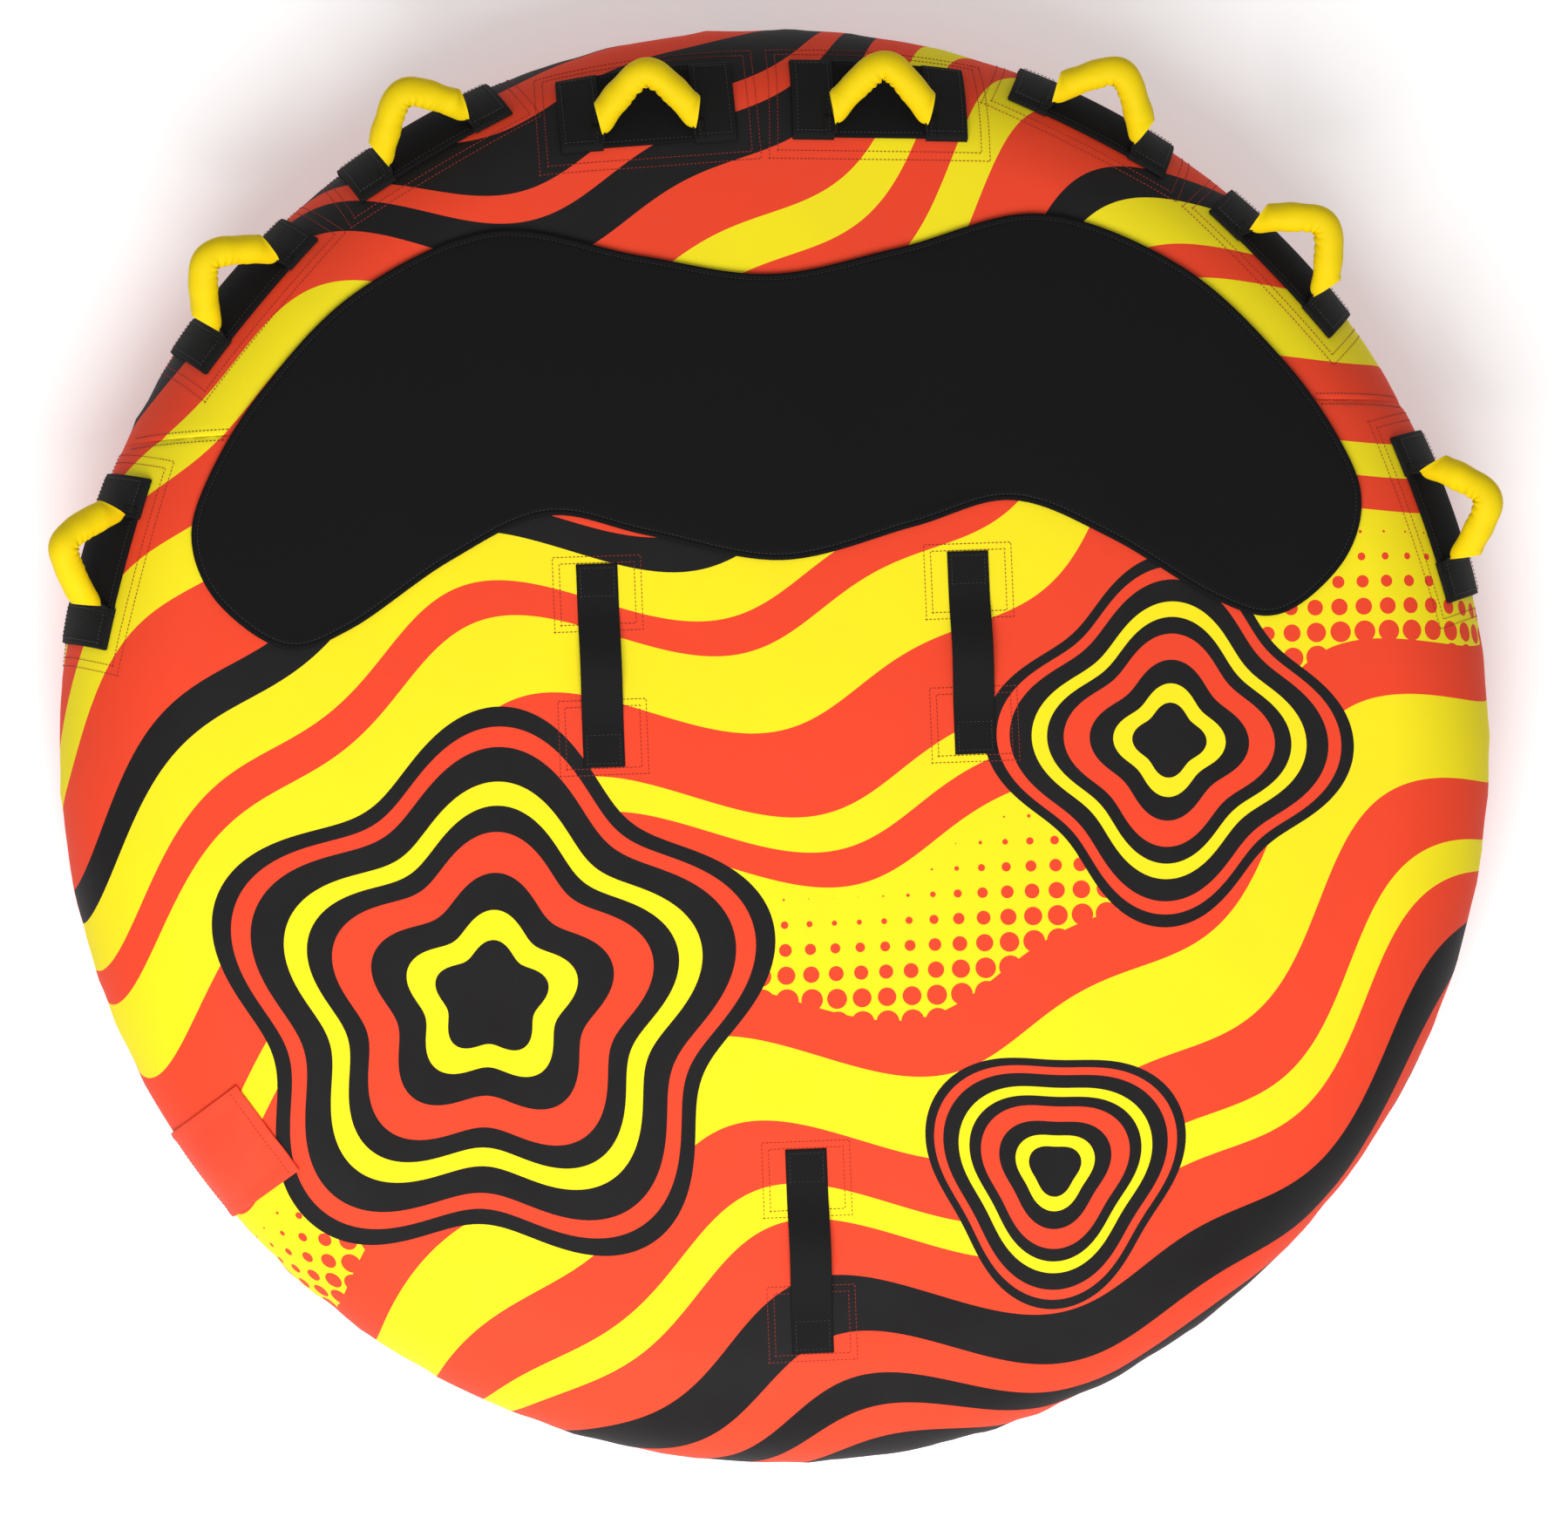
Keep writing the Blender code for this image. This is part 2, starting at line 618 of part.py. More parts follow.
def handle_frame(sign, index):
    """Frame on a handle's hinge line: X along it, Y down the slope, Z square out of the cover."""
    heading = sign * math.radians(HANDLE_HEADINGS[index])
    middle = arc_at_slope(HANDLE_SLOPES[index])
    turn = sign * math.radians(HANDLE_TURNS[index])
    ends = []
    for along in (-BAND_INNER_EDGE, BAND_INNER_EDGE):
        ends.append(swung_point(heading, middle, turn, -GRIP_SETBACK, along, BAND_TOP))
    along_hinge = (ends[1] - ends[0]).normalized()
    square = patch_frame(heading, middle - GRIP_SETBACK, 0.0).col[2].xyz
    down_slope = square.cross(along_hinge).normalized()
    normal = along_hinge.cross(down_slope)
    origin = (ends[0] + ends[1]) / 2 + normal * (CORE_DIAMETER / 2)
    axes = Matrix((along_hinge, down_slope, normal)).transposed().to_4x4()
    return Matrix.Translation(origin) @ axes


def make_handle(side_name, sign, index, finishes):
    """One handle: knuckle pad, two bands, sleeved grip and its core."""
    label = f"{side_name}{index + 1}"
    heading = sign * math.radians(HANDLE_HEADINGS[index])
    turn = sign * math.radians(HANDLE_TURNS[index])
    middle = arc_at_slope(HANDLE_SLOPES[index])
    arcs = steps(middle - HANDLE_PAD_WIDTH / 2, middle + HANDLE_PAD_WIDTH / 2, PAD_ROW_COUNT)
    half_pad = HANDLE_PAD_LENGTH / 2
    patch_slab(f"handle_pad_{label}", heading, arcs, steps(-half_pad, half_pad, PAD_COLUMN_COUNT),
               LAY_GAP, LAY_GAP + HANDLE_PAD_THICKNESS, finishes["neoprene"], turn=turn)
    outer_edge = half_pad - BAND_END_MARGIN
    for letter, along in (("a", (-outer_edge, -BAND_INNER_EDGE)), ("b", (BAND_INNER_EDGE, outer_edge))):
        patch_slab(f"handle_band_{label}{letter}", heading, arcs, steps(*along, BAND_COLUMN_COUNT),
                   BAND_TOP - BAND_THICKNESS, BAND_TOP, finishes["webbing"], turn=turn)
    frame = handle_frame(sign, index)
    lean = math.radians(HANDLE_LEANS[index])
    make_grip(f"handle_grip_{label}", frame, lean, BAND_INNER_EDGE, finishes["grip"])
    make_core(f"handle_core_{label}", frame, lean, BAND_INNER_EDGE, finishes["webbing"])


def make_deck_strap(name, place, finish):
    """Webbing strap sewn down at both ends, with hand room under its middle."""
    across, forward = place
    slack = DECK_STRAP_LENGTH / 2 - DECK_STRAP_SEWN_END
    lower = []
    upper = []
    for along in steps(-DECK_STRAP_LENGTH / 2, DECK_STRAP_LENGTH / 2, STRAP_FACET_COUNT):
        share = max(0.0, 1.0 - abs(along) / slack)
        rise = DECK_STRAP_RISE * math.sin(share * math.pi / 2) ** 2
        edges = (across - DECK_STRAP_WIDTH / 2, across + DECK_STRAP_WIDTH / 2)
        lower.append([deck_point(x, forward + along, GAP + rise) for x in edges])
        top = GAP + rise + DECK_STRAP_THICKNESS
        upper.append([deck_point(x, forward + along, top) for x in edges])
    add_object(name, slab(name, lower, upper), finish)


def smooth_outline(knots, samples):
    """Closed smooth curve through plan points, as a list of samples on each stretch."""
    outline = []
    count = len(knots)
    for index in range(count):
        before, start, end, after = (knots[(index + shift) % count] for shift in (-1, 0, 1, 2))
        for step in range(samples):
            t = step / samples
            outline.append(0.5 * (2 * start + (end - before) * t
                                  + (2 * before - 5 * start + 4 * end - after) * t ** 2
                                  + (3 * start - before - 3 * end + after) * t ** 3))
    return outline


def make_body_pad(finish):
    """Neoprene body pad, cut to its outline and laid on the crown of the deck."""
    right = []
    for heading, margin in BODY_PAD_OUTLINE:
        radius = RIM_RADIUS - margin
        turn = math.radians(heading)
        right.append(Vector((radius * math.sin(turn), radius * math.cos(turn))))
    left = [Vector((-point.x, point.y)) for point in reversed(right[1:-1])]
    shape = bmesh.new()
    outline = smooth_outline(right + left, OUTLINE_SAMPLE_COUNT)
    corners = [shape.verts.new((point.x, point.y, 0.0)) for point in outline]
    shape.faces.new(corners)
    spacing = BODY_PAD_CELL
    for axis in (0, 1):
        count = int(RIM_RADIUS / spacing)
        for line in range(-count, count + 1):
            place = Vector((0.0, 0.0, 0.0))
            place[axis] = line * spacing
            normal = Vector((0.0, 0.0, 0.0))
            normal[axis] = 1.0
            every = list(shape.verts) + list(shape.edges) + list(shape.faces)
            bmesh.ops.bisect_plane(shape, geom=every, dist=1e-6, plane_co=place, plane_no=normal)
    bmesh.ops.triangulate(shape, faces=shape.faces)
    bent = [edge for edge in shape.edges
            if max(vertex.co.length for vertex in edge.verts) > DECK_EDGE_ARC]
    bmesh.ops.subdivide_edges(shape, edges=bent, cuts=2, use_grid_fill=True)
    bmesh.ops.triangulate(shape, faces=shape.faces)
    shape.verts.index_update()
    plan = [(vertex.co.x, vertex.co.y) for vertex in shape.verts]
    count = len(plan)
    points = [deck_point(x, y, LAY_GAP) for x, y in plan]
    points += [deck_point(x, y, LAY_GAP + BODY_PAD_THICKNESS) for x, y in plan]
    faces = []
    for face in shape.faces:
        ring = [vertex.index for vertex in face.verts]
        faces.append(tuple(reversed(ring)))
        faces.append(tuple(count + index for index in ring))
    for edge in shape.edges:
        if edge.is_boundary:
            start, end = (vertex.index for vertex in edge.verts)
            faces.append((start, end, count + end, count + start))
    shape.free()
    add_object("body_pad", mesh_from("body_pad", points, faces), finish)


def make_valve(finishes):
    """Valve body welded inside the bladder, its screw cap, and the flap that covers them."""
    bladder_face = BLADDER_LIFT - BLADDER_THICKNESS
    bend = (VALVE_FLANGE_DIAMETER / 2) ** 2 / (2 * (SHOULDER_RADIUS + bladder_face))
    flange_top = bladder_face - bend - BLADDER_FACET_SAG - GAP
    neck_top = BLADDER_LIFT
    frame = valve_frame(0.0)
    neck = VALVE_NECK_DIAMETER / 2
    passage = VALVE_PASSAGE_DIAMETER / 2
    flange = VALVE_FLANGE_DIAMETER / 2
    flange_low = flange_top - VALVE_FLANGE_THICKNESS
    body = [(passage, neck_top), (neck, neck_top), (neck, flange_top), (flange, flange_top),
            (flange, flange_low), (passage, flange_low)]
    add_object("valve_body", turned("valve_body", frame, body, VALVE_SIDE_COUNT), finishes["valve"])
    make_valve_cap(frame, neck_top + GAP, finishes["valve"])
    make_valve_flap(finishes["cover"])


def make_valve_cap(frame, seat, finish):
    """Screw cap with a notched edge and a plug that goes into the valve's passage."""
    sides = CAP_SIDE_COUNT
    plug = VALVE_PASSAGE_DIAMETER / 2 - 2 * GAP
    levels = ((seat - VALVE_PLUG_LENGTH, plug), (seat, plug), (seat, None),
              (seat + VALVE_CAP_THICKNESS, None))
    points = []
    for height, radius in levels:
        for step in range(sides):
            turn = 2 * math.pi * step / sides
            notch = VALVE_CAP_GRIP_DEPTH if step % CAP_NOTCH_EVERY == 0 else 0.0
            reach = radius if radius else VALVE_CAP_DIAMETER / 2 - notch
            points.append(frame @ Vector((reach * math.cos(turn), reach * math.sin(turn), height)))
    faces = tube_faces(0, len(levels), sides)
    faces += [tuple(range(sides)), tuple(range(len(points) - sides, len(points)))]
    pivot = frame @ Vector((0.0, 0.0, seat))
    add_object("valve_cap", mesh_from("valve_cap", points, faces), finish, pivot=pivot)


def make_valve_flap(finish):
    """Fabric flap over the valve, puffed up by the cap, sewn along its edge at the rim."""
    heading = math.radians(VALVE_HEADING)
    hinge_arc = arc_at_slope(FLAP_HINGE_SLOPE)
    middle_arc = hinge_arc - FLAP_LENGTH / 2

    def puff(arc, along):
        lengthwise = (arc - middle_arc) / (FLAP_LENGTH / 2)
        sideways = along / (FLAP_WIDTH / 2)
        return FLAP_PUFF * (1.0 - lengthwise ** 2) ** 2 * (1.0 - sideways ** 2) ** 2

    hinge = patch_frame(heading, hinge_arc, LAY_GAP + FLAP_THICKNESS / 2).translation
    patch_slab("valve_flap", heading, steps(hinge_arc - FLAP_LENGTH, hinge_arc, FLAP_ROW_COUNT),
               steps(-FLAP_WIDTH / 2, FLAP_WIDTH / 2, FLAP_COLUMN_COUNT), LAY_GAP, LAY_GAP + FLAP_THICKNESS,
               finish, hinge, puff)


def make_zip(finishes):
    """Zip round the rear of the underside: taped coil and a slider at its closed end."""
    middle = math.radians(ZIP_BELOW_SEAM)
    tape = ZIP_TAPE_WIDTH / 2
    coil = ZIP_COIL_WIDTH / 2
    tape_top = LAY_GAP + ZIP_TAPE_THICKNESS
    coil_top = tape_top + ZIP_COIL_HEIGHT
    section = ((-tape, LAY_GAP), (0.0, LAY_GAP), (tape, LAY_GAP), (tape, tape_top), (coil, tape_top),
               (coil, coil_top), (-coil, coil_top), (-coil, tape_top), (-tape, tape_top))
    points = []
    half_angle = math.radians(ZIP_HALF_ANGLE)
    for heading in steps(math.pi - half_angle, math.pi + half_angle, ZIP_FACET_COUNT):
        outward = heading_vectors(heading)[0]
        for across, lift in section:
            radius, height = base_profile(middle + across / SEAM_HEIGHT, lift)
            points.append(outward * radius + Vector((0.0, 0.0, height)))
    count = len(section)
    faces = tube_faces(0, ZIP_FACET_COUNT + 1, count)
    faces += [tuple(range(count)), tuple(range(len(points) - count, len(points)))]
    add_object("zip_chain", mesh_from("zip_chain", points, faces), finishes["zip"])

    coil_radius = base_profile(middle, coil_top)[0]
    rest_heading = math.pi + half_angle - ZIP_END_STOP / coil_radius
    frame = base_frame(rest_heading, middle, coil_top + GAP)
    half = SLIDER_LENGTH / 2
    lug = SLIDER_HEIGHT + SLIDER_LUG_HEIGHT
    outline = ((-half, 0.0), (half, 0.0), (half, SLIDER_HEIGHT / 2), (half * 0.7, SLIDER_HEIGHT),
               (half * 0.4, SLIDER_HEIGHT), (half * 0.3, lug), (-half * 0.5, lug),
               (-half * 0.7, SLIDER_HEIGHT), (-half, SLIDER_HEIGHT))
    axis_foot = Vector((0.0, 0.0, frame.translation.z))
    add_object("zip_slider", extruded("zip_slider", frame, outline, SLIDER_WIDTH), finishes["zip"],
               pivot=axis_foot)


def make_tow(finishes):
    """Doubled tow strap sewn under the front of the rim, and the ring in its loop."""
    loop_outer = TOW_RING_BAR / 2 + TOW_BAR_CLEARANCE + TOW_STRAP_THICKNESS
    loop_angle = math.radians(TOW_LOOP_BELOW_SEAM)
    tail_top = LAY_GAP + 2 * TOW_STRAP_THICKNESS
    lower = []
    upper = []
    for below in steps(loop_angle, loop_angle + TOW_STRAP_LENGTH / SEAM_HEIGHT, TOW_ROW_COUNT):
        for rows, lift in ((lower, LAY_GAP), (upper, tail_top)):
            radius, height = base_profile(below, lift)
            rows.append([Vector((side, radius, height))
                         for side in (-TOW_STRAP_WIDTH / 2, TOW_STRAP_WIDTH / 2)])
    strap = add_object("tow_strap", slab("tow_strap", lower, upper), finishes["webbing"])
    radius, height = base_profile(loop_angle, LAY_GAP + loop_outer)
    pivot = Vector((0.0, radius, height))
    turn = Matrix.Translation(pivot) @ Matrix.Rotation(math.pi / 2, 4, "Y")
    loop = round_bar("tow_strap_loop", turn, loop_outer, TOW_STRAP_WIDTH, LOOP_SIDE_COUNT,
                     finishes["webbing"])
    hole = round_bar("tow_strap_hole", turn, TOW_RING_BAR / 2 + TOW_BAR_CLEARANCE,
                     2 * TOW_STRAP_WIDTH, LOOP_SIDE_COUNT, finishes["webbing"])
    cut(strap, "UNION", loop)
    cut(strap, "DIFFERENCE", hole)
    make_tow_ring(pivot, finishes["steel"])


def round_bar(name, frame, radius, length, sides, finish):
    """Round bar along a frame's Z."""
    points = []
    for height in (-length / 2, length / 2):
        for step in range(sides):
            turn = 2 * math.pi * step / sides
            points.append(frame @ Vector((radius * math.cos(turn), radius * math.sin(turn), height)))
    faces = tube_faces(0, 2, sides) + [tuple(range(sides)), tuple(range(sides, 2 * sides))]
    return add_object(name, mesh_from(name, points, faces), finish)


def make_tow_ring(pivot, finish):
    """D-shaped steel ring hanging from its straight bar, with flat faces front and back."""
    sides = RING_SIDE_COUNT
    half = TOW_RING_INSIDE_WIDTH / 2 + TOW_RING_BAR / 2
    bow_centre = -(TOW_RING_DROP - half)
    path = [Vector((-half, 0.0)), Vector((half, 0.0))]
    for step in range(RING_BOW_COUNT + 1):
        turn = -math.pi * step / RING_BOW_COUNT
        path.append(Vector((half * math.cos(turn), bow_centre + half * math.sin(turn))))
    count = len(path)
    facet_reach = TOW_RING_BAR / 2
    points = []
    for index, point in enumerate(path):
        incoming = (point - path[index - 1]).normalized()
        outgoing = (path[(index + 1) % count] - point).normalized()
        bisector = (incoming + outgoing).normalized()
        mitre = Vector((-bisector.y, bisector.x)) / bisector.dot(outgoing)
        for side in range(sides):
            turn = 2 * math.pi * (side + 0.5) / sides
            spot = point + mitre * (facet_reach * math.cos(turn))
            points.append(pivot + Vector((spot.x, facet_reach * math.sin(turn), spot.y)))
    faces = tube_faces(0, count, sides)
    last = (count - 1) * sides
    for side in range(sides):
        after = (side + 1) % sides
        faces.append((last + side, last + after, after, side))
    add_object("tow_ring", mesh_from("tow_ring", points, faces), finish, pivot=pivot)


def main():
    """Clear the scene and build every piece."""
    for obj in list(bpy.data.objects):
        bpy.data.objects.remove(obj, do_unlink=True)
    finishes = {
        "cover": material("cover_nylon", RED, 0.55),
        "bladder": material("bladder_vinyl", BLADDER_BLACK, 0.40),
        "neoprene": material("pad_neoprene", BLACK_NEOPRENE, 0.85),
        "webbing": material("webbing", BLACK_WEBBING, 0.75),
        "grip": material("grip_sleeve", GRIP_YELLOW, 0.60),
        "valve": material("valve_plastic", VALVE_GREY, 0.45),
        "zip": material("zip_plastic", ZIP_BLACK, 0.50),
        "steel": material("tow_steel", RING_STEEL, 0.30, metallic=1.0),
    }
    make_cover(finishes["cover"])
    make_bladder(finishes["bladder"])
    make_baffles(finishes["bladder"])
    make_body_pad(finishes["neoprene"])
    for side_name, sign in (("l", -1), ("r", 1)):
        for index in range(len(HANDLE_HEADINGS)):
            make_handle(side_name, sign, index, finishes)
    for name, place in DECK_STRAP_PLACES.items():
        make_deck_strap(name, place, finishes["webbing"])
    make_valve(finishes)
    make_zip(finishes)
    make_tow(finishes)


main()
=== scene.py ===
"""Towable tube: the visual model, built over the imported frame, with its studio stage.

Metres, +Z up.  The front, where the handles are, is +Y.  A heading is an angle about Z from the front
towards +X.  An arc is a distance along the cover from the middle of the deck, a lift a height square
to the cover.
"""

import math

import bmesh
import bpy
import numpy as np
from mathutils import Matrix, Vector


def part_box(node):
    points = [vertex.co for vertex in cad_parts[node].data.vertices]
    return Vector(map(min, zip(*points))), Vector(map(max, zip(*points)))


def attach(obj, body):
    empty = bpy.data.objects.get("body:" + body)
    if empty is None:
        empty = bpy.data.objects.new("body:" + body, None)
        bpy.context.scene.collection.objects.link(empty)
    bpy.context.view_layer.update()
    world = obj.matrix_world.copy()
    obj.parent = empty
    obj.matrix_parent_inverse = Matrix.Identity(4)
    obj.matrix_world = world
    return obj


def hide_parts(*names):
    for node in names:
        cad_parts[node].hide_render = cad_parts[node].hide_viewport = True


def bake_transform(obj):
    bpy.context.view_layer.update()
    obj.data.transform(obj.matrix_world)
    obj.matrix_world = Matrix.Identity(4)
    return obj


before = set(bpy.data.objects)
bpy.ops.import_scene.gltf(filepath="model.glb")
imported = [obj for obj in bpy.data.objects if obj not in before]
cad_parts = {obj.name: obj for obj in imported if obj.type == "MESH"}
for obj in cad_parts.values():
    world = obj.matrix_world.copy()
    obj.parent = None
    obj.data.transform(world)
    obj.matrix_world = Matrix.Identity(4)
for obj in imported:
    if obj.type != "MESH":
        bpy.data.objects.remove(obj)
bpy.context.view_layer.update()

bl_info = {
    "name": "Towable Tube",
    "version": (1, 0, 0),
    "blender": (4, 5, 0),
    "location": "View3D > Sidebar > Tube",
    "description": "Builds a towable tube for riders lying down, piece by piece, and its studio stage",
    "category": "Object",
}

SIDES = (("l", -1), ("r", 1))
HANDLES = [(f"{letter}{index + 1}", sign, index) for letter, sign in SIDES for index in range(4)]
CLOTH_MAP = "cloth"
NOISE_SEED = 7
CUT_REACH = 1e-6
SHARP_EDGE = math.radians(38.0)
SOLID_GAP = 0.00015
COVER_SECTORS = 400
FILM_SECTORS = 320
LAST_RING = 0.0002
TURNED_RING = 0.0001
GATHERED_EDGE = 0.030
CALM_MARGIN = 0.020
PIECE_LIFT = 0.0003
VALVE_HEADING = math.radians(-124.6)
VALVE_HOLE = 0.070
NECK_HOLE = 0.0412
FLAP_WIDTH = 0.126
FLAP_LENGTH = 0.175
FLAP_HINGE_SLOPE = 88.0
FLAP_PUFF = 0.0082
FLAP_CLOTH = 0.0012
FLAP_HEM = 0.0012
BLADDER_LIFT = -0.0015
FILM_SLACK = 0.0030
FILM_RIM_SLACK = 0.0115
SEAM_TURN_IN = 0.0090
BLADDER_FILM = 0.0008


def setting(name, description, default, **kind):
    """Number that the panel shows."""
    return bpy.props.FloatProperty(name=name, description=description, default=default, **kind)


def metres(name, description, default):
    """Length that the panel shows."""
    return setting(name, description, default, unit="LENGTH")


def settings(name, description, default, **kind):
    """Row of numbers that the panel shows."""
    return bpy.props.FloatVectorProperty(
        name=name, description=description, size=len(default), default=default, **kind)


class TubeForm(bpy.types.PropertyGroup):
    """Sizes of the inflated cover."""

    rim_radius: metres("Rim radius", "From the axis to the rim seam", 0.875)
    tube_height: metres("Height", "From the floor to the crown of the deck", 0.32)
    seam_height: metres("Seam height", "Height of the rim seam", 0.155)
    deck_crown: metres("Crown", "Rise of the deck's middle", 0.015)
    deck_seam: metres("Deck seam", "How far forward the deck seam lies", 0.388)
    cloth: metres("Cloth", "Thickness of the cover", 0.0012)
    lay_gap: metres("Lay gap", "Room under a piece that lies on the cover", 0.0009)
    gather_depth: metres("Gathers", "Depth of the puckers along the rim seam", 0.0034)


class HandleForm(bpy.types.PropertyGroup):
    """Sizes of the handles; a row of four runs from the front handle of a side to its rearmost."""

    headings: settings("Headings", "Heading of each handle of one side, in degrees",
                       (10.4, 28.8, 48.4, 73.1))
    slopes: settings("Slopes", "Slope of the cover under each handle, in degrees",
                     (23.0, 60.0, 60.0, 60.0))
    leans: settings("Leans", "Outward lean of each grip, in degrees", (56.0, 11.0, 13.0, 6.0))
    turns: settings("Turns", "Swing of each handle toward straight across, in degrees",
                    (8.0, 0.0, 0.0, 0.0))
    pad_length: metres("Pad length", "Length of a knuckle pad", 0.213)
    pad_width: metres("Pad width", "Width of a knuckle pad", 0.104)
    pad_thickness: metres("Pad thickness", "Thickness of a knuckle pad", 0.005)
    band_width: metres("Band width", "Width of the webbing", 0.050)
    band_thickness: metres("Band thickness", "Thickness of the webbing", 0.0022)
    grip_diameter: metres("Grip", "Diameter of a grip at its middle", 0.035)
    grip_rise: metres("Rise", "Height of a grip's bend over its hinge line", 0.075)
    grip_bend: setting("Bend", "Roundness of a grip's bend", 0.34)
    grip_arm_fall: setting("Arm fall", "Share of the rise that a grip's arms fall", 0.70)
    grip_setback: metres("Setback", "Hinge line, inward of the pad's middle", 0.038)
    core_radius: metres("Core", "Height of the hinge line over the bands", 0.0045)


class PrintLook(bpy.types.PropertyGroup):
    """Colours of the cloth and its print."""

    red: settings("Red", "Red of the cover", (0.87, 0.062, 0.022), subtype="COLOR")
    yellow: settings("Yellow", "Yellow of the print", (0.955, 0.80, 0.012), subtype="COLOR")
    black: settings("Black", "Black of the print", (0.0070, 0.0060, 0.0066), subtype="COLOR")
    grip: settings("Grip", "Yellow of the grips", (0.90, 0.66, 0.001), subtype="COLOR")


class StudioLook(bpy.types.PropertyGroup):
    """The stage."""

    distance: metres("Distance", "From the camera to the tube", 10.0)
    roll: setting("Roll", "Turn of the camera about its axis", math.radians(2.3), subtype="ANGLE",
                  unit="ROTATION")
    key_power: setting("Key", "Power of the overhead light", 165.0, unit="POWER")
    fill: setting("Fill", "Strength of the light from all round", 0.42)


class TubeSurface:
    """The inflated cover as a surface to lay pieces on."""

    def __init__(self, form):
        self.rim = form.rim_radius
        self.crown = form.tube_height
        self.seam = form.seam_height
        rise = self.crown - self.seam
        self.shoulder = rise - form.deck_crown
        self.centre = self.rim - self.shoulder
        self.dome = (self.centre ** 2 + rise ** 2 - self.shoulder ** 2) / (2 * form.deck_crown)
        self.edge_slope = math.atan2(self.centre, self.dome - rise)
        self.edge_arc = self.dome * self.edge_slope
        self.base_centre = self.rim - self.seam
        self.rim_arc = self.arc_at_slope(90.0)

    def arc_at_slope(self, degrees):
        """Arc where the shoulder has this slope."""
        return self.edge_arc + self.shoulder * (math.radians(degrees) - self.edge_slope)

    def arc_at_radius(self, radius):
        """Arc at a plan radius on the upper half."""
        on_deck = self.dome * np.arcsin(np.clip(radius / self.dome, -1, 1))
        bend = np.arcsin(np.clip((radius - self.centre) / self.shoulder, -1, 1))
        on_shoulder = self.edge_arc + self.shoulder * (bend - self.edge_slope)
        return np.where(radius <= self.dome * math.sin(self.edge_slope), on_deck, on_shoulder)

    def top(self, arc, lift=0.0):
        """Radius, height and slope on the upper half."""
        arc = np.asarray(arc, float)
        deck = arc <= self.edge_arc
        slope = np.where(deck, arc / self.dome, self.edge_slope + (arc - self.edge_arc) / self.shoulder)
        reach = np.where(deck, self.dome, self.shoulder) + lift
        radius = np.where(deck, 0.0, self.centre) + reach * np.sin(slope)
        height = np.where(deck, self.crown - self.dome, self.seam) + reach * np.cos(slope)
        return radius, height, slope

    def under(self, below, lift=0.0):
        """Radius and height on the lower shoulder, below radians under the rim seam."""
        reach = self.seam + lift
        return self.base_centre + reach * np.cos(below), self.seam - reach * np.sin(below)

    def patch(self, heading, arc, along, lift):
        """Points of a straight patch on the upper half; along runs sideways from its middle."""
        radius, _, slope = self.top(arc)
        reach, height, _ = self.top(arc + np.cos(slope) * along ** 2 / (2 * radius), lift)
        return around(heading + along / radius, reach, height)

    def deck(self, across, forward, lift):
        """Points over the deck at plan places."""
        reach, height, _ = self.top(self.arc_at_radius(np.hypot(across, forward)), lift)
        return around(np.arctan2(across, forward), reach, height)

    def base(self, heading, below, lift):
        """Points on the lower shoulder."""
        return around(heading, *self.under(below, lift))

    def frame(self, heading, arc, lift):
        """Frame on the upper half: X sideways, Y down the slope, Z square out of the cover."""
        reach, height, slope = (float(value) for value in self.top(arc, lift))
        outward = Vector((math.sin(heading), math.cos(heading), 0.0))
        sideways = Vector((math.cos(heading), -math.sin(heading), 0.0))
        up = Vector((0.0, 0.0, 1.0))
        down_slope = outward * math.cos(slope) - up * math.sin(slope)
        normal = outward * math.sin(slope) + up * math.cos(slope)
        return axes_at(outward * reach + up * height, sideways, down_slope, normal)


def axes_at(origin, *axes):
    """Frame with these axes at an origin."""
    return Matrix.Translation(origin) @ Matrix(axes).transposed().to_4x4()


def seated(points, seat):
    """Points of a seat's frame, in the tube's frame."""
    return points @ np.array(seat.to_3x3()).T + np.array(seat.translation)


def stacked(x, y, z):
    """One array of points from three arrays of coordinates."""
    return np.stack(np.broadcast_arrays(x, y, z), axis=-1)


def around(heading, reach, height):
    """Points about the tube's axis."""
    return stacked(reach * np.sin(heading), reach * np.cos(heading), height)


def round_turns(count):
    """Even turns of a circle."""
    return 2 * math.pi * np.arange(count) / count


def run_along(path):
    """Length of a path up to each of its points."""
    return np.concatenate(([0.0], np.cumsum(np.linalg.norm(np.diff(path, axis=0), axis=1))))


def unrolled(section, run):
    """Cloth map of a swept piece: places round its section, by the run of its rings."""
    return stacked(section[None, :], run[:, None], 0.0)[..., :2]


def smooth_step(low, high, value):
    """Ramp from 0 to 1 without a kink."""
    share = np.clip((np.asarray(value, float) - low) / (high - low), 0.0, 1.0)
    return share * share * (3.0 - 2.0 * share)


def rolled_edge(distance, radius, least=0.2):
    """Height share of a rounded edge, by the distance in from it."""
    share = 1.0 - np.clip(distance / radius, 0.0, 1.0)
    return least + (1.0 - least) * np.sqrt(np.clip(1.0 - share ** 2, 0.0, 1.0))


def spaced(low, high, step, edge):
    """Places from low to high, even in the middle and close together at both edges."""
    close = np.array([0.0, 0.12, 0.3, 0.6, 1.0]) * edge
    count = max(2, round((high - low - 2 * edge) / step))
    inside = np.linspace(low + edge, high - edge, count + 1)[1:-1]
    return np.concatenate((low + close, inside, high - close[::-1]))


def border_distance(rows, columns):
    """Distance of each grid place from the nearest border."""
    by_row = np.minimum(rows - rows[0], rows[-1] - rows)
    by_column = np.minimum(columns - columns[0], columns[-1] - columns)
    return np.minimum(by_row[:, None], by_column[None, :])


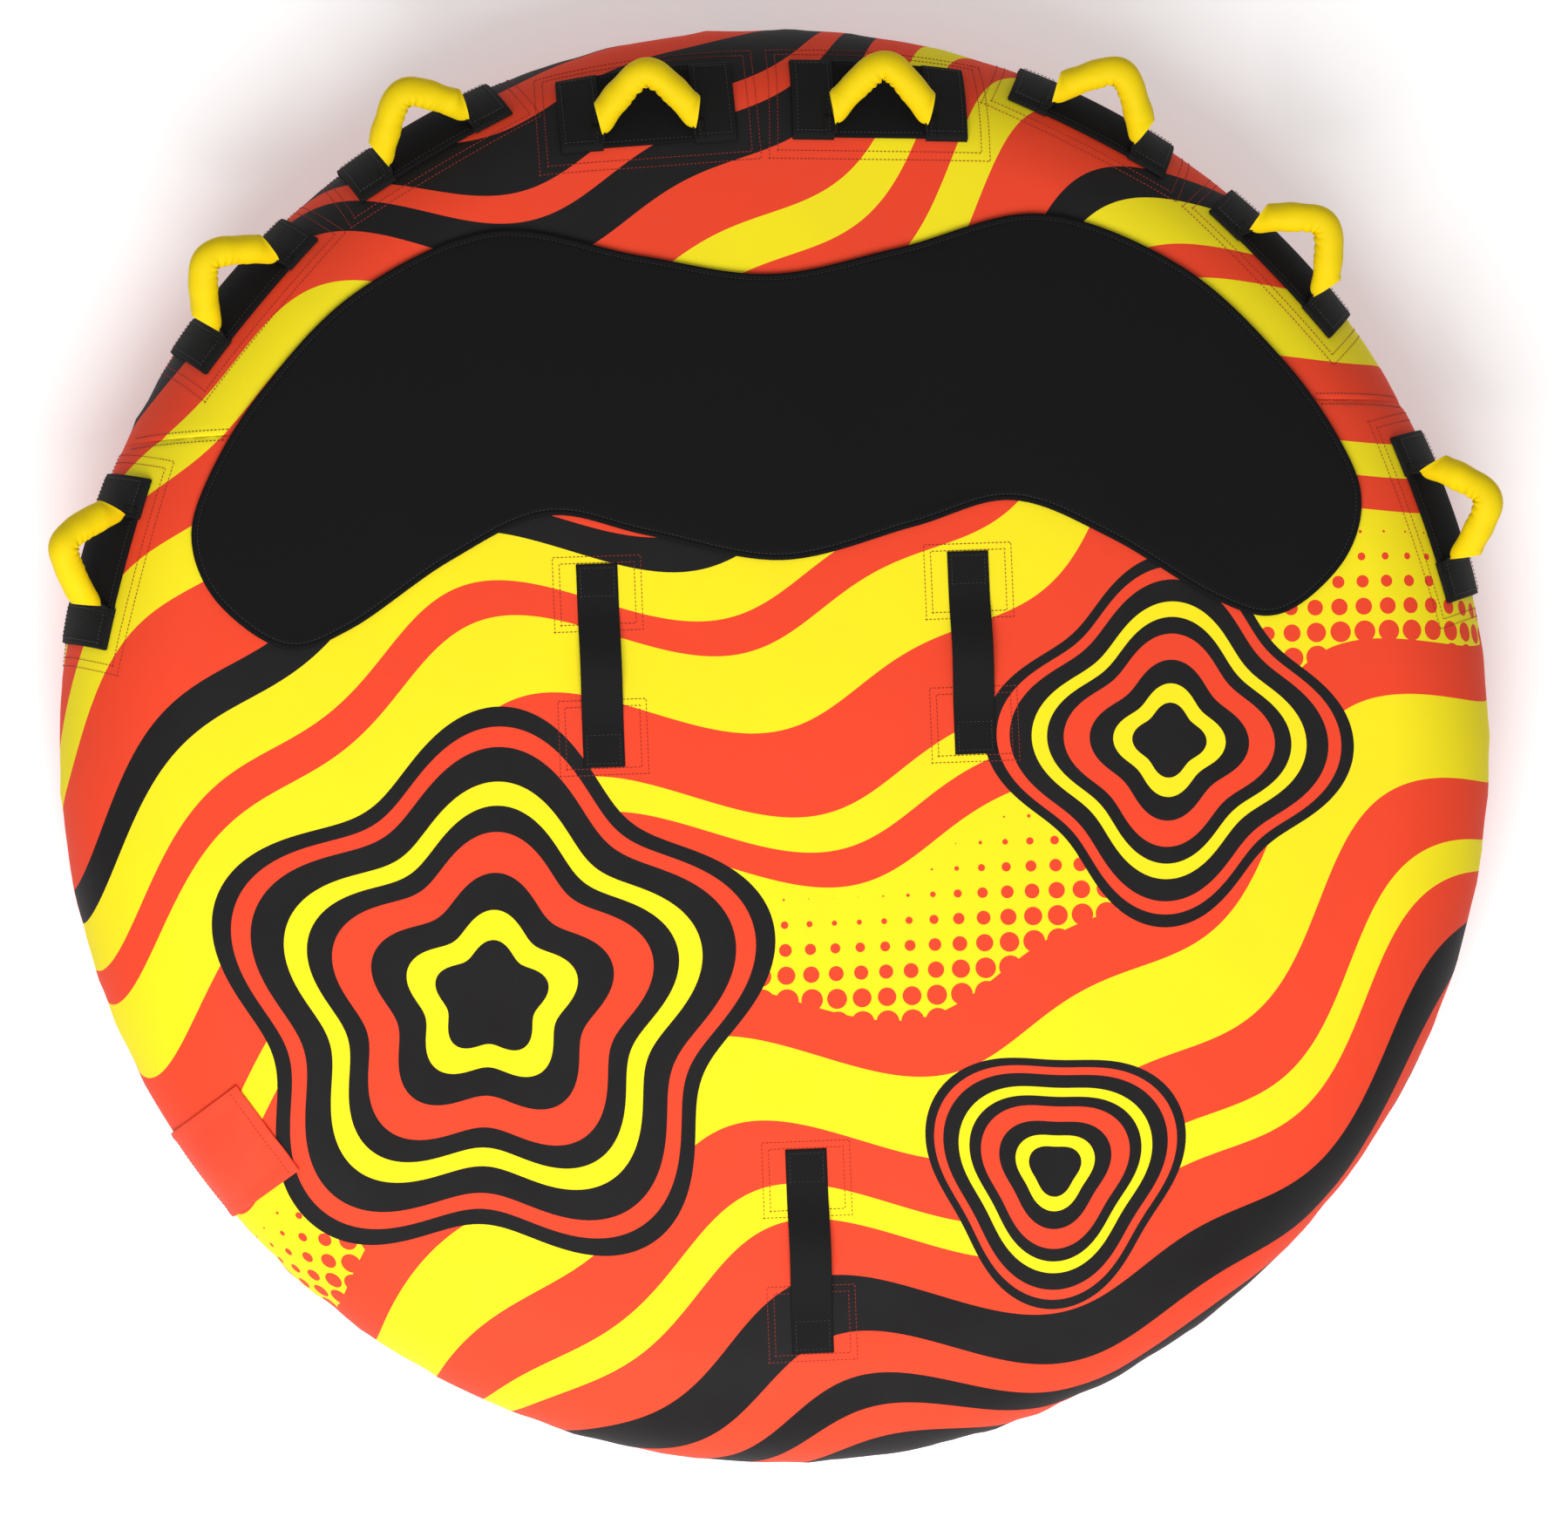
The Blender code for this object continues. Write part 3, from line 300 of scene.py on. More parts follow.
def ripples(seed, counts, place):
    """Sum of waves with fixed random phases, about 1 high."""
    phases = np.random.default_rng(seed).uniform(0.0, 2 * math.pi, len(counts))
    return sum(np.sin(count * place + phase) for count, phase in zip(counts, phases)) / len(counts) ** 0.5


def add_piece(name, points, faces, flat, material):
    """Link a smooth mesh whose cloth map holds each point's place on the flat cloth, in metres."""
    data = bpy.data.meshes.new(name)
    data.from_pydata(np.asarray(points, float).reshape(-1, 3).tolist(), [], faces)
    data.validate()
    corners = np.zeros(len(data.loops), np.int32)
    data.loops.foreach_get("vertex_index", corners)
    layer = data.uv_layers.new(name=CLOTH_MAP)
    layer.uv.foreach_set("vector", np.asarray(flat, np.float32).reshape(-1, 2)[corners].ravel())
    data.shade_smooth()
    data.materials.append(material)
    piece = bpy.data.objects.new(name, data)
    bpy.context.scene.collection.objects.link(piece)
    return piece


def face_outward(piece):
    """Turn a closed piece's faces outward."""
    shape = bmesh.new()
    shape.from_mesh(piece.data)
    bmesh.ops.recalc_face_normals(shape, faces=shape.faces)
    shape.to_mesh(piece.data)
    shape.free()
    return piece


def laid_piece(name, place, rows, columns, low, high, material):
    """Closed piece between two lifts over a grid; place turns row, column and lift into points."""
    across, down = np.meshgrid(columns, rows)
    points = np.concatenate([place(down, across, np.broadcast_to(lift, down.shape)).reshape(-1, 3)
                             for lift in (low, high)])
    flat = np.tile(np.stack((across.ravel(), down.ravel()), axis=1), (2, 1))
    height, width = down.shape
    half = height * width
    faces = []
    for row in range(height - 1):
        for column in range(width - 1):
            corner = row * width + column
            quad = (corner, corner + 1, corner + width + 1, corner + width)
            faces.append(quad)
            faces.append(tuple(half + index for index in reversed(quad)))
    border = list(range(width)) + [row * width + width - 1 for row in range(1, height)]
    border += [(height - 1) * width + column for column in range(width - 2, -1, -1)]
    border += [row * width for row in range(height - 2, 0, -1)]
    for index, start in enumerate(border):
        end = border[(index + 1) % len(border)]
        faces.append((start, half + start, half + end, end))
    return face_outward(add_piece(name, points, faces, flat, material))


def swept_piece(name, rings, flat, material, closed=False):
    """Closed piece through rings of points; its two ends are capped, or joined when closed."""
    count, sides = rings.shape[:2]
    faces = []
    for ring in range(count if closed else count - 1):
        after = (ring + 1) % count
        for side in range(sides):
            following = (side + 1) % sides
            faces.append((ring * sides + side, ring * sides + following,
                          after * sides + following, after * sides + side))
    if not closed:
        faces.append(tuple(range(sides)))
        faces.append(tuple(range((count - 1) * sides, count * sides)))
    return face_outward(add_piece(name, rings, faces, flat, material))


def turned_piece(name, seat, profile, sides, material, closed=False, flutes=None):
    """Closed piece turned about a seat's Z from radius and height pairs, with a fluted edge if asked."""
    turns = round_turns(sides)
    rings = []
    for radius, height in profile:
        reach = np.full(sides, radius)
        if flutes and radius > flutes["beyond"]:
            reach -= flutes["depth"] * (0.5 + 0.5 * np.cos(flutes["count"] * turns)) ** 3
        rings.append(stacked(reach * np.cos(turns), reach * np.sin(turns), height))
    flat = np.zeros((len(profile), sides, 2))
    piece = swept_piece(name, seated(np.array(rings), seat), flat, material, closed)
    piece.data.set_sharp_from_angle(angle=SHARP_EDGE)
    return piece


def strip_section(width, thickness):
    """Rounded section of webbing, as across and upward pairs."""
    half = width / 2 - thickness / 2
    bow = np.linspace(-math.pi / 2, math.pi / 2, 5)
    right = [(half + thickness / 2 * math.cos(turn), thickness / 2 * math.sin(turn)) for turn in bow]
    top = [(share * half, thickness / 2) for share in (0.6, 0.2, -0.2, -0.6)]
    left = [(-x, -z) for x, z in right]
    foot = [(-x, -z) for x, z in top]
    return np.array(right + top + left + foot)


def strip_piece(name, path, across, normals, width, thickness, material):
    """Length of webbing along a path."""
    section = strip_section(width, thickness)
    rings = (path[:, None, :] + across[:, None, :] * section[None, :, :1]
             + normals[:, None, :] * section[None, :, 1:])
    return swept_piece(name, rings, unrolled(section[:, 0], run_along(path)), material)


def unit(vectors):
    """Vectors made one long."""
    return vectors / np.linalg.norm(vectors, axis=-1, keepdims=True)


def joined(name, pieces):
    """Several objects joined into one."""
    for piece in bpy.context.selected_objects:
        piece.select_set(False)
    for piece in pieces:
        piece.select_set(True)
    bpy.context.view_layer.objects.active = pieces[0]
    bpy.ops.object.join()
    pieces[0].name = name
    pieces[0].data.name = name
    return pieces[0]


def shell(piece, thickness):
    """Give an open sheet its thickness, inward of its face."""
    modifier = piece.modifiers.new("thickness", "SOLIDIFY")
    modifier.thickness = thickness
    modifier.offset = -1.0
    return piece


def finished(piece, body, nodes):
    """Put a piece in its body, in the place of its CAD nodes."""
    if body:
        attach(piece, body)
    if nodes:
        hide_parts(*nodes)
    return piece


def cut(shape, axis, place, **dropped):
    """Cut every face of a shape square to an axis."""
    normal = Vector((0.0, 0.0, 0.0))
    normal[axis] = 1.0
    every = [*shape.verts, *shape.edges, *shape.faces]
    bmesh.ops.bisect_plane(shape, geom=every, dist=CUT_REACH, plane_co=normal * place, plane_no=normal,
                           **dropped)


def basics(context):
    """What a step builds from: the cover's sizes, its surface and the finishes."""
    form = context.scene.tube_form
    return form, TubeSurface(form), finishes(context.scene)


# Node trees


def new_group(name, inputs, outputs, kind="ShaderNodeTree"):
    """Node group with named sockets, given as name, type and default."""
    tree = bpy.data.node_groups.new(name, kind)
    for label, socket, default in inputs:
        made = tree.interface.new_socket(label, in_out="INPUT", socket_type=socket)
        if default is not None:
            made.default_value = default
    for label, socket in outputs:
        tree.interface.new_socket(label, in_out="OUTPUT", socket_type=socket)
    return tree, tree.nodes.new("NodeGroupInput"), tree.nodes.new("NodeGroupOutput")


def plug(tree, value, socket):
    """Link a socket, or set its value."""
    if isinstance(value, bpy.types.NodeSocket):
        tree.links.new(value, socket)
    else:
        socket.default_value = value


def node(tree, kind, inputs=None, **set_to):
    """Node with these settings, its inputs linked or set by label."""
    made = tree.nodes.new(kind)
    for label, value in set_to.items():
        setattr(made, label, value)
    for label, value in (inputs or {}).items():
        plug(tree, value, made.inputs[label])
    return made


def socket_of(sockets, identifier):
    """Socket of a node whose labels repeat."""
    return next(socket for socket in sockets if socket.identifier == identifier)


def calc(tree, operation, *values):
    """Math node on sockets or numbers."""
    return node(tree, "ShaderNodeMath", dict(enumerate(values)), operation=operation).outputs[0]


def mixed(tree, factor, first, second, blend="MIX"):
    """Colour mix of sockets or values."""
    made = node(tree, "ShaderNodeMix", data_type="RGBA", blend_type=blend)
    for label, value in (("Factor_Float", factor), ("A_Color", first), ("B_Color", second)):
        plug(tree, value, socket_of(made.inputs, label))
    return socket_of(made.outputs, "Result_Color")


def noise(tree, vector, scale, detail=3.0):
    """Noise value at a scale per metre."""
    made = node(tree, "ShaderNodeTexNoise", {"Vector": vector, "Scale": scale, "Detail": detail})
    return made.outputs["Fac"]


def split(tree, vector):
    """The parts of a vector."""
    return node(tree, "ShaderNodeSeparateXYZ", {0: vector}).outputs


def weave_group():
    """Over-and-under weave: its height, by a place on the flat cloth and threads per metre."""
    name = "cloth_weave"
    if name in bpy.data.node_groups:
        return bpy.data.node_groups[name]
    tree, given, made = new_group(
        name, [("Place", "NodeSocketVector", None), ("Across", "NodeSocketFloat", 900.0),
               ("Along", "NodeSocketFloat", 900.0)], [("Height", "NodeSocketFloat")])
    waves = []
    for part, label in zip(split(tree, given.outputs["Place"]), ("Across", "Along")):
        phase = calc(tree, "MULTIPLY", calc(tree, "MULTIPLY", part, math.pi), given.outputs[label])
        waves.append(calc(tree, "SINE", phase))
    height = calc(tree, "MULTIPLY_ADD", calc(tree, "MULTIPLY", *waves), 0.5, 0.5)
    plug(tree, height, made.inputs["Height"])
    return tree


WORN_GREY = (0.8, 0.8, 0.8, 1.0)
BROAD_MOTTLE = 9.0
FINE_GRAIN = 420.0


def mottle_group():
    """Uneven dye and light wear on a colour, by a place on the flat cloth."""
    name = "cloth_mottle"
    if name in bpy.data.node_groups:
        return bpy.data.node_groups[name]
    tree, given, made = new_group(
        name, [("Place", "NodeSocketVector", None), ("Colour", "NodeSocketColor", (1.0, 1.0, 1.0, 1.0)),
               ("Amount", "NodeSocketFloat", 0.1), ("Wear", "NodeSocketFloat", 0.05)],
        [("Colour", "NodeSocketColor"), ("Grain", "NodeSocketFloat")])
    broad = noise(tree, given.outputs["Place"], BROAD_MOTTLE)
    fine = noise(tree, given.outputs["Place"], FINE_GRAIN, 2.0)
    shade = calc(tree, "SUBTRACT", 1.0, calc(tree, "MULTIPLY", given.outputs["Amount"], broad))
    grey = node(tree, "ShaderNodeCombineColor", dict.fromkeys(range(3), shade))
    dyed = mixed(tree, 1.0, given.outputs["Colour"], grey.outputs[0], "MULTIPLY")
    rubbed = calc(tree, "MULTIPLY", given.outputs["Wear"], calc(tree, "MULTIPLY", fine, broad))
    plug(tree, mixed(tree, rubbed, dyed, WORN_GREY), made.inputs["Colour"])
    plug(tree, fine, made.inputs["Grain"])
    return tree


PRINT_BANDS = (
    (-1.10, "black"), (-0.93, "red"), (-0.88, "black"), (-0.83, "red"), (-0.77, "black"), (-0.70, "red"),
    (-0.62, "yellow"), (-0.58, "red"), (-0.49, "yellow"), (-0.38, "red"), (-0.30, "yellow"),
    (-0.13, "red"), (-0.08, "yellow"), (-0.03, "red"), (0.08, "yellow"), (0.18, "red"),
    (0.23, "yellow"), (0.30, "black"), (0.34, "red"), (0.45, "yellow"), (0.51, "red"), (0.58, "yellow"),
    (0.63, "red"), (0.71, "black"), (0.76, "red"), (0.80, "black"), (0.89, "red"), (0.96, "black"),
)
RING_BANDS = (
    (0.0, "black"), (0.20, "yellow"), (0.30, "black"), (0.43, "red"), (0.57, "black"), (0.66, "yellow"),
    (0.74, "black"), (0.86, "red"), (0.93, "black"),
)
RING_PLACES = ((-0.37, -0.30, 0.31, 5, 0.4), (0.46, -0.02, 0.20, 4, 1.9), (0.30, -0.53, 0.15, 3, 0.2))
PRINT_TILT = math.radians(24.0)
PRINT_SWELLS = ((0.085, 1.05, 0.6), (0.030, 0.43, 2.1))
PRINT_RANGE = (-1.2, 1.2)
RING_RANGE = (0.0, 1.05)
RING_LOBES = 0.13
DOT_PITCH = 0.030
DOT_LEVELS = (-0.13, -0.30)
DOT_LARGEST = 0.46


def band_ramp(tree, place, bands, span, colours):
    """Hard-edged colour bands over a span of places."""
    low, high = span
    share = calc(tree, "DIVIDE", calc(tree, "SUBTRACT", place, low), high - low)
    made = node(tree, "ShaderNodeValToRGB", {"Fac": share})
    ramp = made.color_ramp
    ramp.interpolation = "CONSTANT"
    for index, (start_at, colour) in enumerate(bands):
        spot = (start_at - low) / (high - low)
        stop = ramp.elements[index] if index < 2 else ramp.elements.new(spot)
        stop.position = spot
        stop.color = (*colours[colour], 1.0)
    return made.outputs["Color"]


def apart(tree, across, forward):
    """Distance from the middle, of two sockets."""
    squares = [calc(tree, "POWER", part, 2.0) for part in (across, forward)]
    return calc(tree, "SQRT", calc(tree, "ADD", *squares))


def print_group(look):
    """Printed design: swells of colour across the deck and rings of ripples, with fading dots."""
    name = "deck_print"
    if name in bpy.data.node_groups:
        return bpy.data.node_groups[name]
    colours = {"red": look.red, "yellow": look.yellow, "black": look.black}
    tree, given, made = new_group(name, [("Place", "NodeSocketVector", None)],
                                  [("Colour", "NodeSocketColor")])
    across, forward, _ = split(tree, given.outputs["Place"])
    turned = calc(tree, "ADD", calc(tree, "MULTIPLY", across, math.cos(PRINT_TILT)),
                  calc(tree, "MULTIPLY", forward, math.sin(PRINT_TILT)))
    level = calc(tree, "SUBTRACT", calc(tree, "MULTIPLY", forward, math.cos(PRINT_TILT)),
                 calc(tree, "MULTIPLY", across, math.sin(PRINT_TILT)))
    for height, length, phase in PRINT_SWELLS:
        wave = calc(tree, "SINE", calc(tree, "MULTIPLY_ADD", turned, 2 * math.pi / length, phase))
        level = calc(tree, "MULTIPLY_ADD", wave, height, level)
    colour = band_ramp(tree, level, PRINT_BANDS, PRINT_RANGE, colours)
    colour = dotted(tree, colour, across, forward, level, colours)
    for x, y, radius, petals, phase in RING_PLACES:
        east = calc(tree, "SUBTRACT", across, x)
        north = calc(tree, "SUBTRACT", forward, y)
        turn = calc(tree, "ARCTAN2", north, east)
        lobes = calc(tree, "SINE", calc(tree, "MULTIPLY_ADD", turn, float(petals), phase))
        swell = calc(tree, "MULTIPLY_ADD", lobes, RING_LOBES, 1.0)
        share = calc(tree, "DIVIDE", apart(tree, east, north), calc(tree, "MULTIPLY", swell, radius))
        rings = band_ramp(tree, share, RING_BANDS, RING_RANGE, colours)
        colour = mixed(tree, calc(tree, "LESS_THAN", share, 1.0), colour, rings)
    plug(tree, colour, made.inputs["Colour"])
    return tree


def dotted(tree, colour, across, forward, level, colours):
    """Rows of round dots that shrink towards one side of a swell."""
    cells = []
    for part in (across, forward):
        share = calc(tree, "FRACT", calc(tree, "DIVIDE", part, DOT_PITCH))
        cells.append(calc(tree, "SUBTRACT", share, 0.5))
    fade = node(tree, "ShaderNodeMapRange", {
        "Value": level, "From Min": DOT_LEVELS[0], "From Max": DOT_LEVELS[1], "To Min": 0.0,
        "To Max": DOT_LARGEST})
    low = calc(tree, "GREATER_THAN", level, DOT_LEVELS[1])
    size = calc(tree, "MULTIPLY", fade.outputs["Result"], low)
    inside = calc(tree, "LESS_THAN", apart(tree, *cells), size)
    return mixed(tree, inside, colour, (*colours["red"], 1.0))


def cloth_place(tree, source):
    """A piece's cloth map, or its own coordinates."""
    if source == "object":
        return node(tree, "ShaderNodeTexCoord").outputs["Object"]
    return node(tree, "ShaderNodeUVMap", uv_map=CLOTH_MAP).outputs["UV"]


GRAIN_ROUGHNESS = 0.16
SHOWN_RED = (0.9, 0.05, 0.014)


def cloth(name, colour=None, weave=(900.0, 900.0), depth=0.0002, roughness=0.6, mottle=0.10, wear=0.04,
          specular=0.3, source="map", design=None, grain=0.0, metallic=0.0):
    """Woven, knitted or moulded finish: dye, wear and the relief of its threads."""
    if name in bpy.data.materials:
        return bpy.data.materials[name]
    made = bpy.data.materials.new(name)
    made.use_nodes = True
    tree = made.node_tree
    place = cloth_place(tree, source)
    if design:
        dye = node(tree, "ShaderNodeGroup", {"Place": place}, node_tree=design).outputs["Colour"]
    else:
        dye = (*colour, 1.0)
    tone = node(tree, "ShaderNodeGroup", {"Place": place, "Colour": dye, "Amount": mottle, "Wear": wear},
                node_tree=mottle_group())
    threads = node(tree, "ShaderNodeGroup", {"Place": place, "Across": weave[0], "Along": weave[1]},
                   node_tree=weave_group())
    height = calc(tree, "MULTIPLY_ADD", tone.outputs["Grain"], grain, threads.outputs["Height"])
    bump = node(tree, "ShaderNodeBump", {"Distance": depth, "Strength": 1.0, "Height": height})
    rough = calc(tree, "MULTIPLY_ADD", tone.outputs["Grain"], GRAIN_ROUGHNESS,
                 roughness - GRAIN_ROUGHNESS / 2)
    shader = tree.nodes["Principled BSDF"]
    for label, value in (("Base Color", tone.outputs["Colour"]), ("Normal", bump.outputs["Normal"]),
                         ("Roughness", rough), ("Specular IOR Level", specular), ("Metallic", metallic)):
        plug(tree, value, shader.inputs[label])
    made.diffuse_color = (*(colour or SHOWN_RED), 1.0)
    return made


def finishes(scene):
    """Every finish of the tube, by name."""
    look = scene.tube_print
    cover = {"weave": (800.0, 800.0), "depth": 0.00006, "roughness": 0.66, "specular": 0.10}
    moulded = {"weave": (1500.0, 1500.0), "source": "object", "grain": 1.0}
    thread = {"weave": (1800.0, 1800.0), "depth": 0.00006, "source": "object"}
    return {
        "deck": cloth("deck_cloth", design=print_group(look), wear=0.02, **cover),
        "base": cloth("base_cloth", colour=look.red, **cover),
        "flap": cloth("flap_cloth", colour=look.red, weave=(700.0, 700.0), depth=0.00008, roughness=0.62,
                      specular=0.12),
        "neoprene": cloth("pad_knit", colour=(0.0072, 0.0072, 0.0080), weave=(620.0, 1100.0),
                          depth=0.00010, roughness=0.86, mottle=0.25, wear=0.006, specular=0.06, grain=0.5),
        "webbing": cloth("webbing_weave", colour=(0.0060, 0.0060, 0.0060), weave=(330.0, 560.0),
                         depth=0.00045, roughness=0.72, mottle=0.2, wear=0.006, specular=0.10),
        "grip": cloth("grip_sleeve_weave", colour=look.grip, depth=0.00009, roughness=0.62, wear=0.01,
                      specular=0.12),
        "bladder": cloth("bladder_film", colour=(0.02, 0.02, 0.022), weave=(300.0, 300.0),
                         depth=0.00003, roughness=0.40, source="object", grain=0.6),
        "valve": cloth("valve_moulding", colour=(0.09, 0.09, 0.10), depth=0.00003, roughness=0.42,
                       **moulded),
        "zip": cloth("zip_tape_weave", colour=(0.012, 0.012, 0.013), weave=(700.0, 700.0),
                     depth=0.00015, roughness=0.7, wear=0.015),
        "teeth": cloth("zip_teeth_moulding", colour=(0.018, 0.018, 0.020), depth=0.00002, roughness=0.38,
                       **moulded),
        "steel": cloth("ring_steel", colour=(0.56, 0.57, 0.58), weave=(40.0, 2600.0), depth=0.00002,
                       roughness=0.30, mottle=0.15, grain=1.0, metallic=1.0),
        "dark_thread": cloth("thread_black", colour=(0.020, 0.018, 0.018), **thread),
        "red_thread": cloth("thread_red", colour=(0.30, 0.016, 0.008), **thread),
    }


# Repeats, by geometry nodes


BEAD_SPREAD = (0.9, 1.08)


def stitch_tree():
    """Stitches or teeth along curves: a rounded bead at each step, turned along the curve."""
    name = "beads_along_rows"
    if name in bpy.data.node_groups:
        return bpy.data.node_groups[name]
    tree, given, made = new_group(
        name, [("Geometry", "NodeSocketGeometry", None), ("Step", "NodeSocketFloat", 0.0048),
               ("Length", "NodeSocketFloat", 0.0034), ("Width", "NodeSocketFloat", 0.0010),
               ("Height", "NodeSocketFloat", 0.0010), ("Seed", "NodeSocketInt", NOISE_SEED),
               ("Finish", "NodeSocketMaterial", None)],
        [("Geometry", "NodeSocketGeometry")], "GeometryNodeTree")
    curve = node(tree, "GeometryNodeMeshToCurve", {"Mesh": given.outputs["Geometry"]})
    rows = node(tree, "GeometryNodeResampleCurve",
                {"Curve": curve.outputs["Curve"], "Length": given.outputs["Step"]}, mode="LENGTH")
    bead = node(tree, "GeometryNodeMeshUVSphere", {"Segments": 6, "Rings": 4, "Radius": 0.5})
    tangent = node(tree, "GeometryNodeInputTangent")
    turn = node(tree, "FunctionNodeAlignRotationToVector", {"Vector": tangent.outputs[0]}, axis="Z")
    vary = node(tree, "FunctionNodeRandomValue", {"Seed": given.outputs["Seed"]}, data_type="FLOAT")
    for label, value in zip(("Min_001", "Max_001"), BEAD_SPREAD):
        socket_of(vary.inputs, label).default_value = value
    drawn = socket_of(vary.outputs, "Value_001")
    size = node(tree, "ShaderNodeCombineXYZ", {
        "X": given.outputs["Width"], "Y": given.outputs["Height"],
        "Z": calc(tree, "MULTIPLY", given.outputs["Length"], drawn)})
    place = node(tree, "GeometryNodeInstanceOnPoints", {
        "Points": rows.outputs["Curve"], "Instance": bead.outputs["Mesh"],
        "Rotation": turn.outputs["Rotation"], "Scale": size.outputs["Vector"]})
    plain = node(tree, "GeometryNodeRealizeInstances", {"Geometry": place.outputs["Instances"]})
    finish = node(tree, "GeometryNodeSetMaterial",
                  {"Geometry": plain.outputs["Geometry"], "Material": given.outputs["Finish"]})
    plug(tree, finish.outputs["Geometry"], made.inputs["Geometry"])
    return tree


def beads(name, rows, finish, step=0.0048, length=0.0036, width=0.0011, height=0.0011):
    """Plain mesh of beads along rows of points."""
    points = []
    edges = []
    for row in rows:
        first = len(points)
        points.extend(np.asarray(row).tolist())
        edges.extend((first + index, first + index + 1) for index in range(len(row) - 1))
    data = bpy.data.meshes.new(f"{name}_rows")
    data.from_pydata(points, edges, [])
    guide = bpy.data.objects.new(f"{name}_rows", data)
    bpy.context.scene.collection.objects.link(guide)
    tree = stitch_tree()
    modifier = guide.modifiers.new("beads", "NODES")
    modifier.node_group = tree
    names = {item.name: item.identifier for item in tree.interface.items_tree if item.in_out == "INPUT"}
    for label, value in (("Step", step), ("Length", length), ("Width", width), ("Height", height),
                         ("Seed", NOISE_SEED), ("Finish", finish)):
        modifier[names[label]] = value
    bpy.context.view_layer.update()
    graph = bpy.context.evaluated_depsgraph_get()
    plain = bpy.data.meshes.new_from_object(guide.evaluated_get(graph))
    plain.name = name
    bpy.data.objects.remove(guide)
    plain.shade_smooth()
    piece = bpy.data.objects.new(name, plain)
    bpy.context.scene.collection.objects.link(piece)
    return piece


# The cover


GATHER_COUNTS = (41, 57, 73, 94, 118, 151, 187)
GATHER_FADE = 2.1
GATHER_MIDDLE = 60.0
GATHER_WANDER = (0.35, 0.31)
GATHER_PATCHES = ((5, 0.4), (11, 2.0))
GATHER_LEAST = 0.40
CALM_RAMP = (-0.012, 0.030)
SEAM_DRAW = 0.0040
SEAM_DRAW_REACH = 0.0065
SEAM_CUTS = (-0.014, -0.007, -0.0035, 0.0, 0.0035, 0.007, 0.014)
SEAM_PUCKERS = (150, 233, 371)
SEAM_GROOVE = (0.0012, 0.0008)
SEAM_GROOVE_REACH = 0.0045
SHOULDER_START = 0.02
BASE_BEND = 0.2
BASE_LAST_RING = 0.0013
BASE_TURNED_RING = 0.0006
ZIP_CALM_TURNS = (math.radians(33), math.radians(40))
ZIP_CALM_RAMP = (0.030, 0.012)
FILM_RIM_RAMP = (0.045, 0.012)
FILM_VALVE_RAMP = (0.090, 0.045)
FILM_FLOOR_SHARES = (0.66, 0.33, 0.001)


def calm_spots(scene):
    """Where pieces are sewn over the rim's gathers: heading, distance above the seam, half sizes."""
    surface = TubeSurface(scene.tube_form)
    handle = scene.tube_handles
    spots = []
    for _, sign, index in HANDLES:
        above = surface.rim_arc - surface.arc_at_slope(handle.slopes[index])
        spots.append((sign * math.radians(handle.headings[index]), above,
                      handle.pad_length / 2 + CALM_MARGIN, handle.pad_width / 2 + CALM_MARGIN))
    spots.append((VALVE_HEADING, FLAP_LENGTH / 2, FLAP_WIDTH / 2 + CALM_MARGIN,
                  FLAP_LENGTH / 2 + CALM_MARGIN))
    return spots


def gathers(form, heading, above, spots, side=1):
    """Lift of the cover near its rim seam, on its upper or lower side: puckers that close up there."""
    phases = np.random.default_rng(NOISE_SEED).uniform(0.0, 2 * math.pi, len(GATHER_COUNTS))
    broad, narrow = (0.5 + 0.5 * np.sin(count * heading + phase) for count, phase in GATHER_PATCHES)
    patchy = GATHER_LEAST + (1.0 - GATHER_LEAST) * broad * narrow
    lift = np.zeros_like(heading)
    for count, phase in zip(GATHER_COUNTS, phases):
        wander = GATHER_WANDER[0] * np.sin(count * GATHER_WANDER[1] * heading + 2 * phase)
        wave = np.sin(count * heading + phase + wander)
        fade = np.exp(-above * count / (GATHER_FADE * form.rim_radius))
        lift += wave * (GATHER_MIDDLE / count) ** 0.5 * fade
    lift *= form.gather_depth / len(GATHER_COUNTS) ** 0.5 * patchy
    for spot_heading, spot_above, half_along, half_up in spots:
        turn = np.abs((heading - spot_heading + math.pi) % (2 * math.pi) - math.pi)
        beside = np.maximum(turn * form.rim_radius - half_along,
                            np.abs(side * above - spot_above) - half_up)
        lift *= smooth_step(*CALM_RAMP, beside)
    return lift - SEAM_DRAW * np.exp(-(above / SEAM_DRAW_REACH) ** 2)


def turned_sheet(profile, count, downward=False):
    """Points and faces of a sheet turned about the axis from a profile that starts on it."""
    turns = round_turns(count)
    points = [np.array([[0.0, 0.0, profile[0][1]]])]
    points += [around(turns, radius, height) for radius, height in profile[1:]]
    faces = []
    for step in range(count):
        after = (step + 1) % count
        faces.append((0, 1 + after, 1 + step))
        for ring in range(len(profile) - 2):
            here = 1 + ring * count
            faces.append((here + step, here + after, here + count + after, here + count + step))
    if downward:
        faces = [tuple(reversed(face)) for face in faces]
    return np.concatenate(points), faces


def opened(faces, points, seat, diameter):
    """Faces and points with a round hole about a seat, its edge drawn to a circle."""
    local = points - np.array(seat.translation)
    axes = np.array(seat.to_3x3())
    across, down, above = (local @ axes[:, index] for index in range(3))
    off_axis = np.hypot(across, down)
    inside = (np.abs(above) < diameter) & (off_axis < diameter / 2)
    kept = [face for face in faces if not all(inside[index] for index in face)]
    used = {index for face in kept for index in face}
    drawn = points.copy()
    for index in np.flatnonzero(inside):
        if index in used:
            push = diameter / 2 / max(off_axis[index], CUT_REACH) - 1.0
            drawn[index] += (axes[:, 0] * across[index] + axes[:, 1] * down[index]) * push
    return kept, drawn


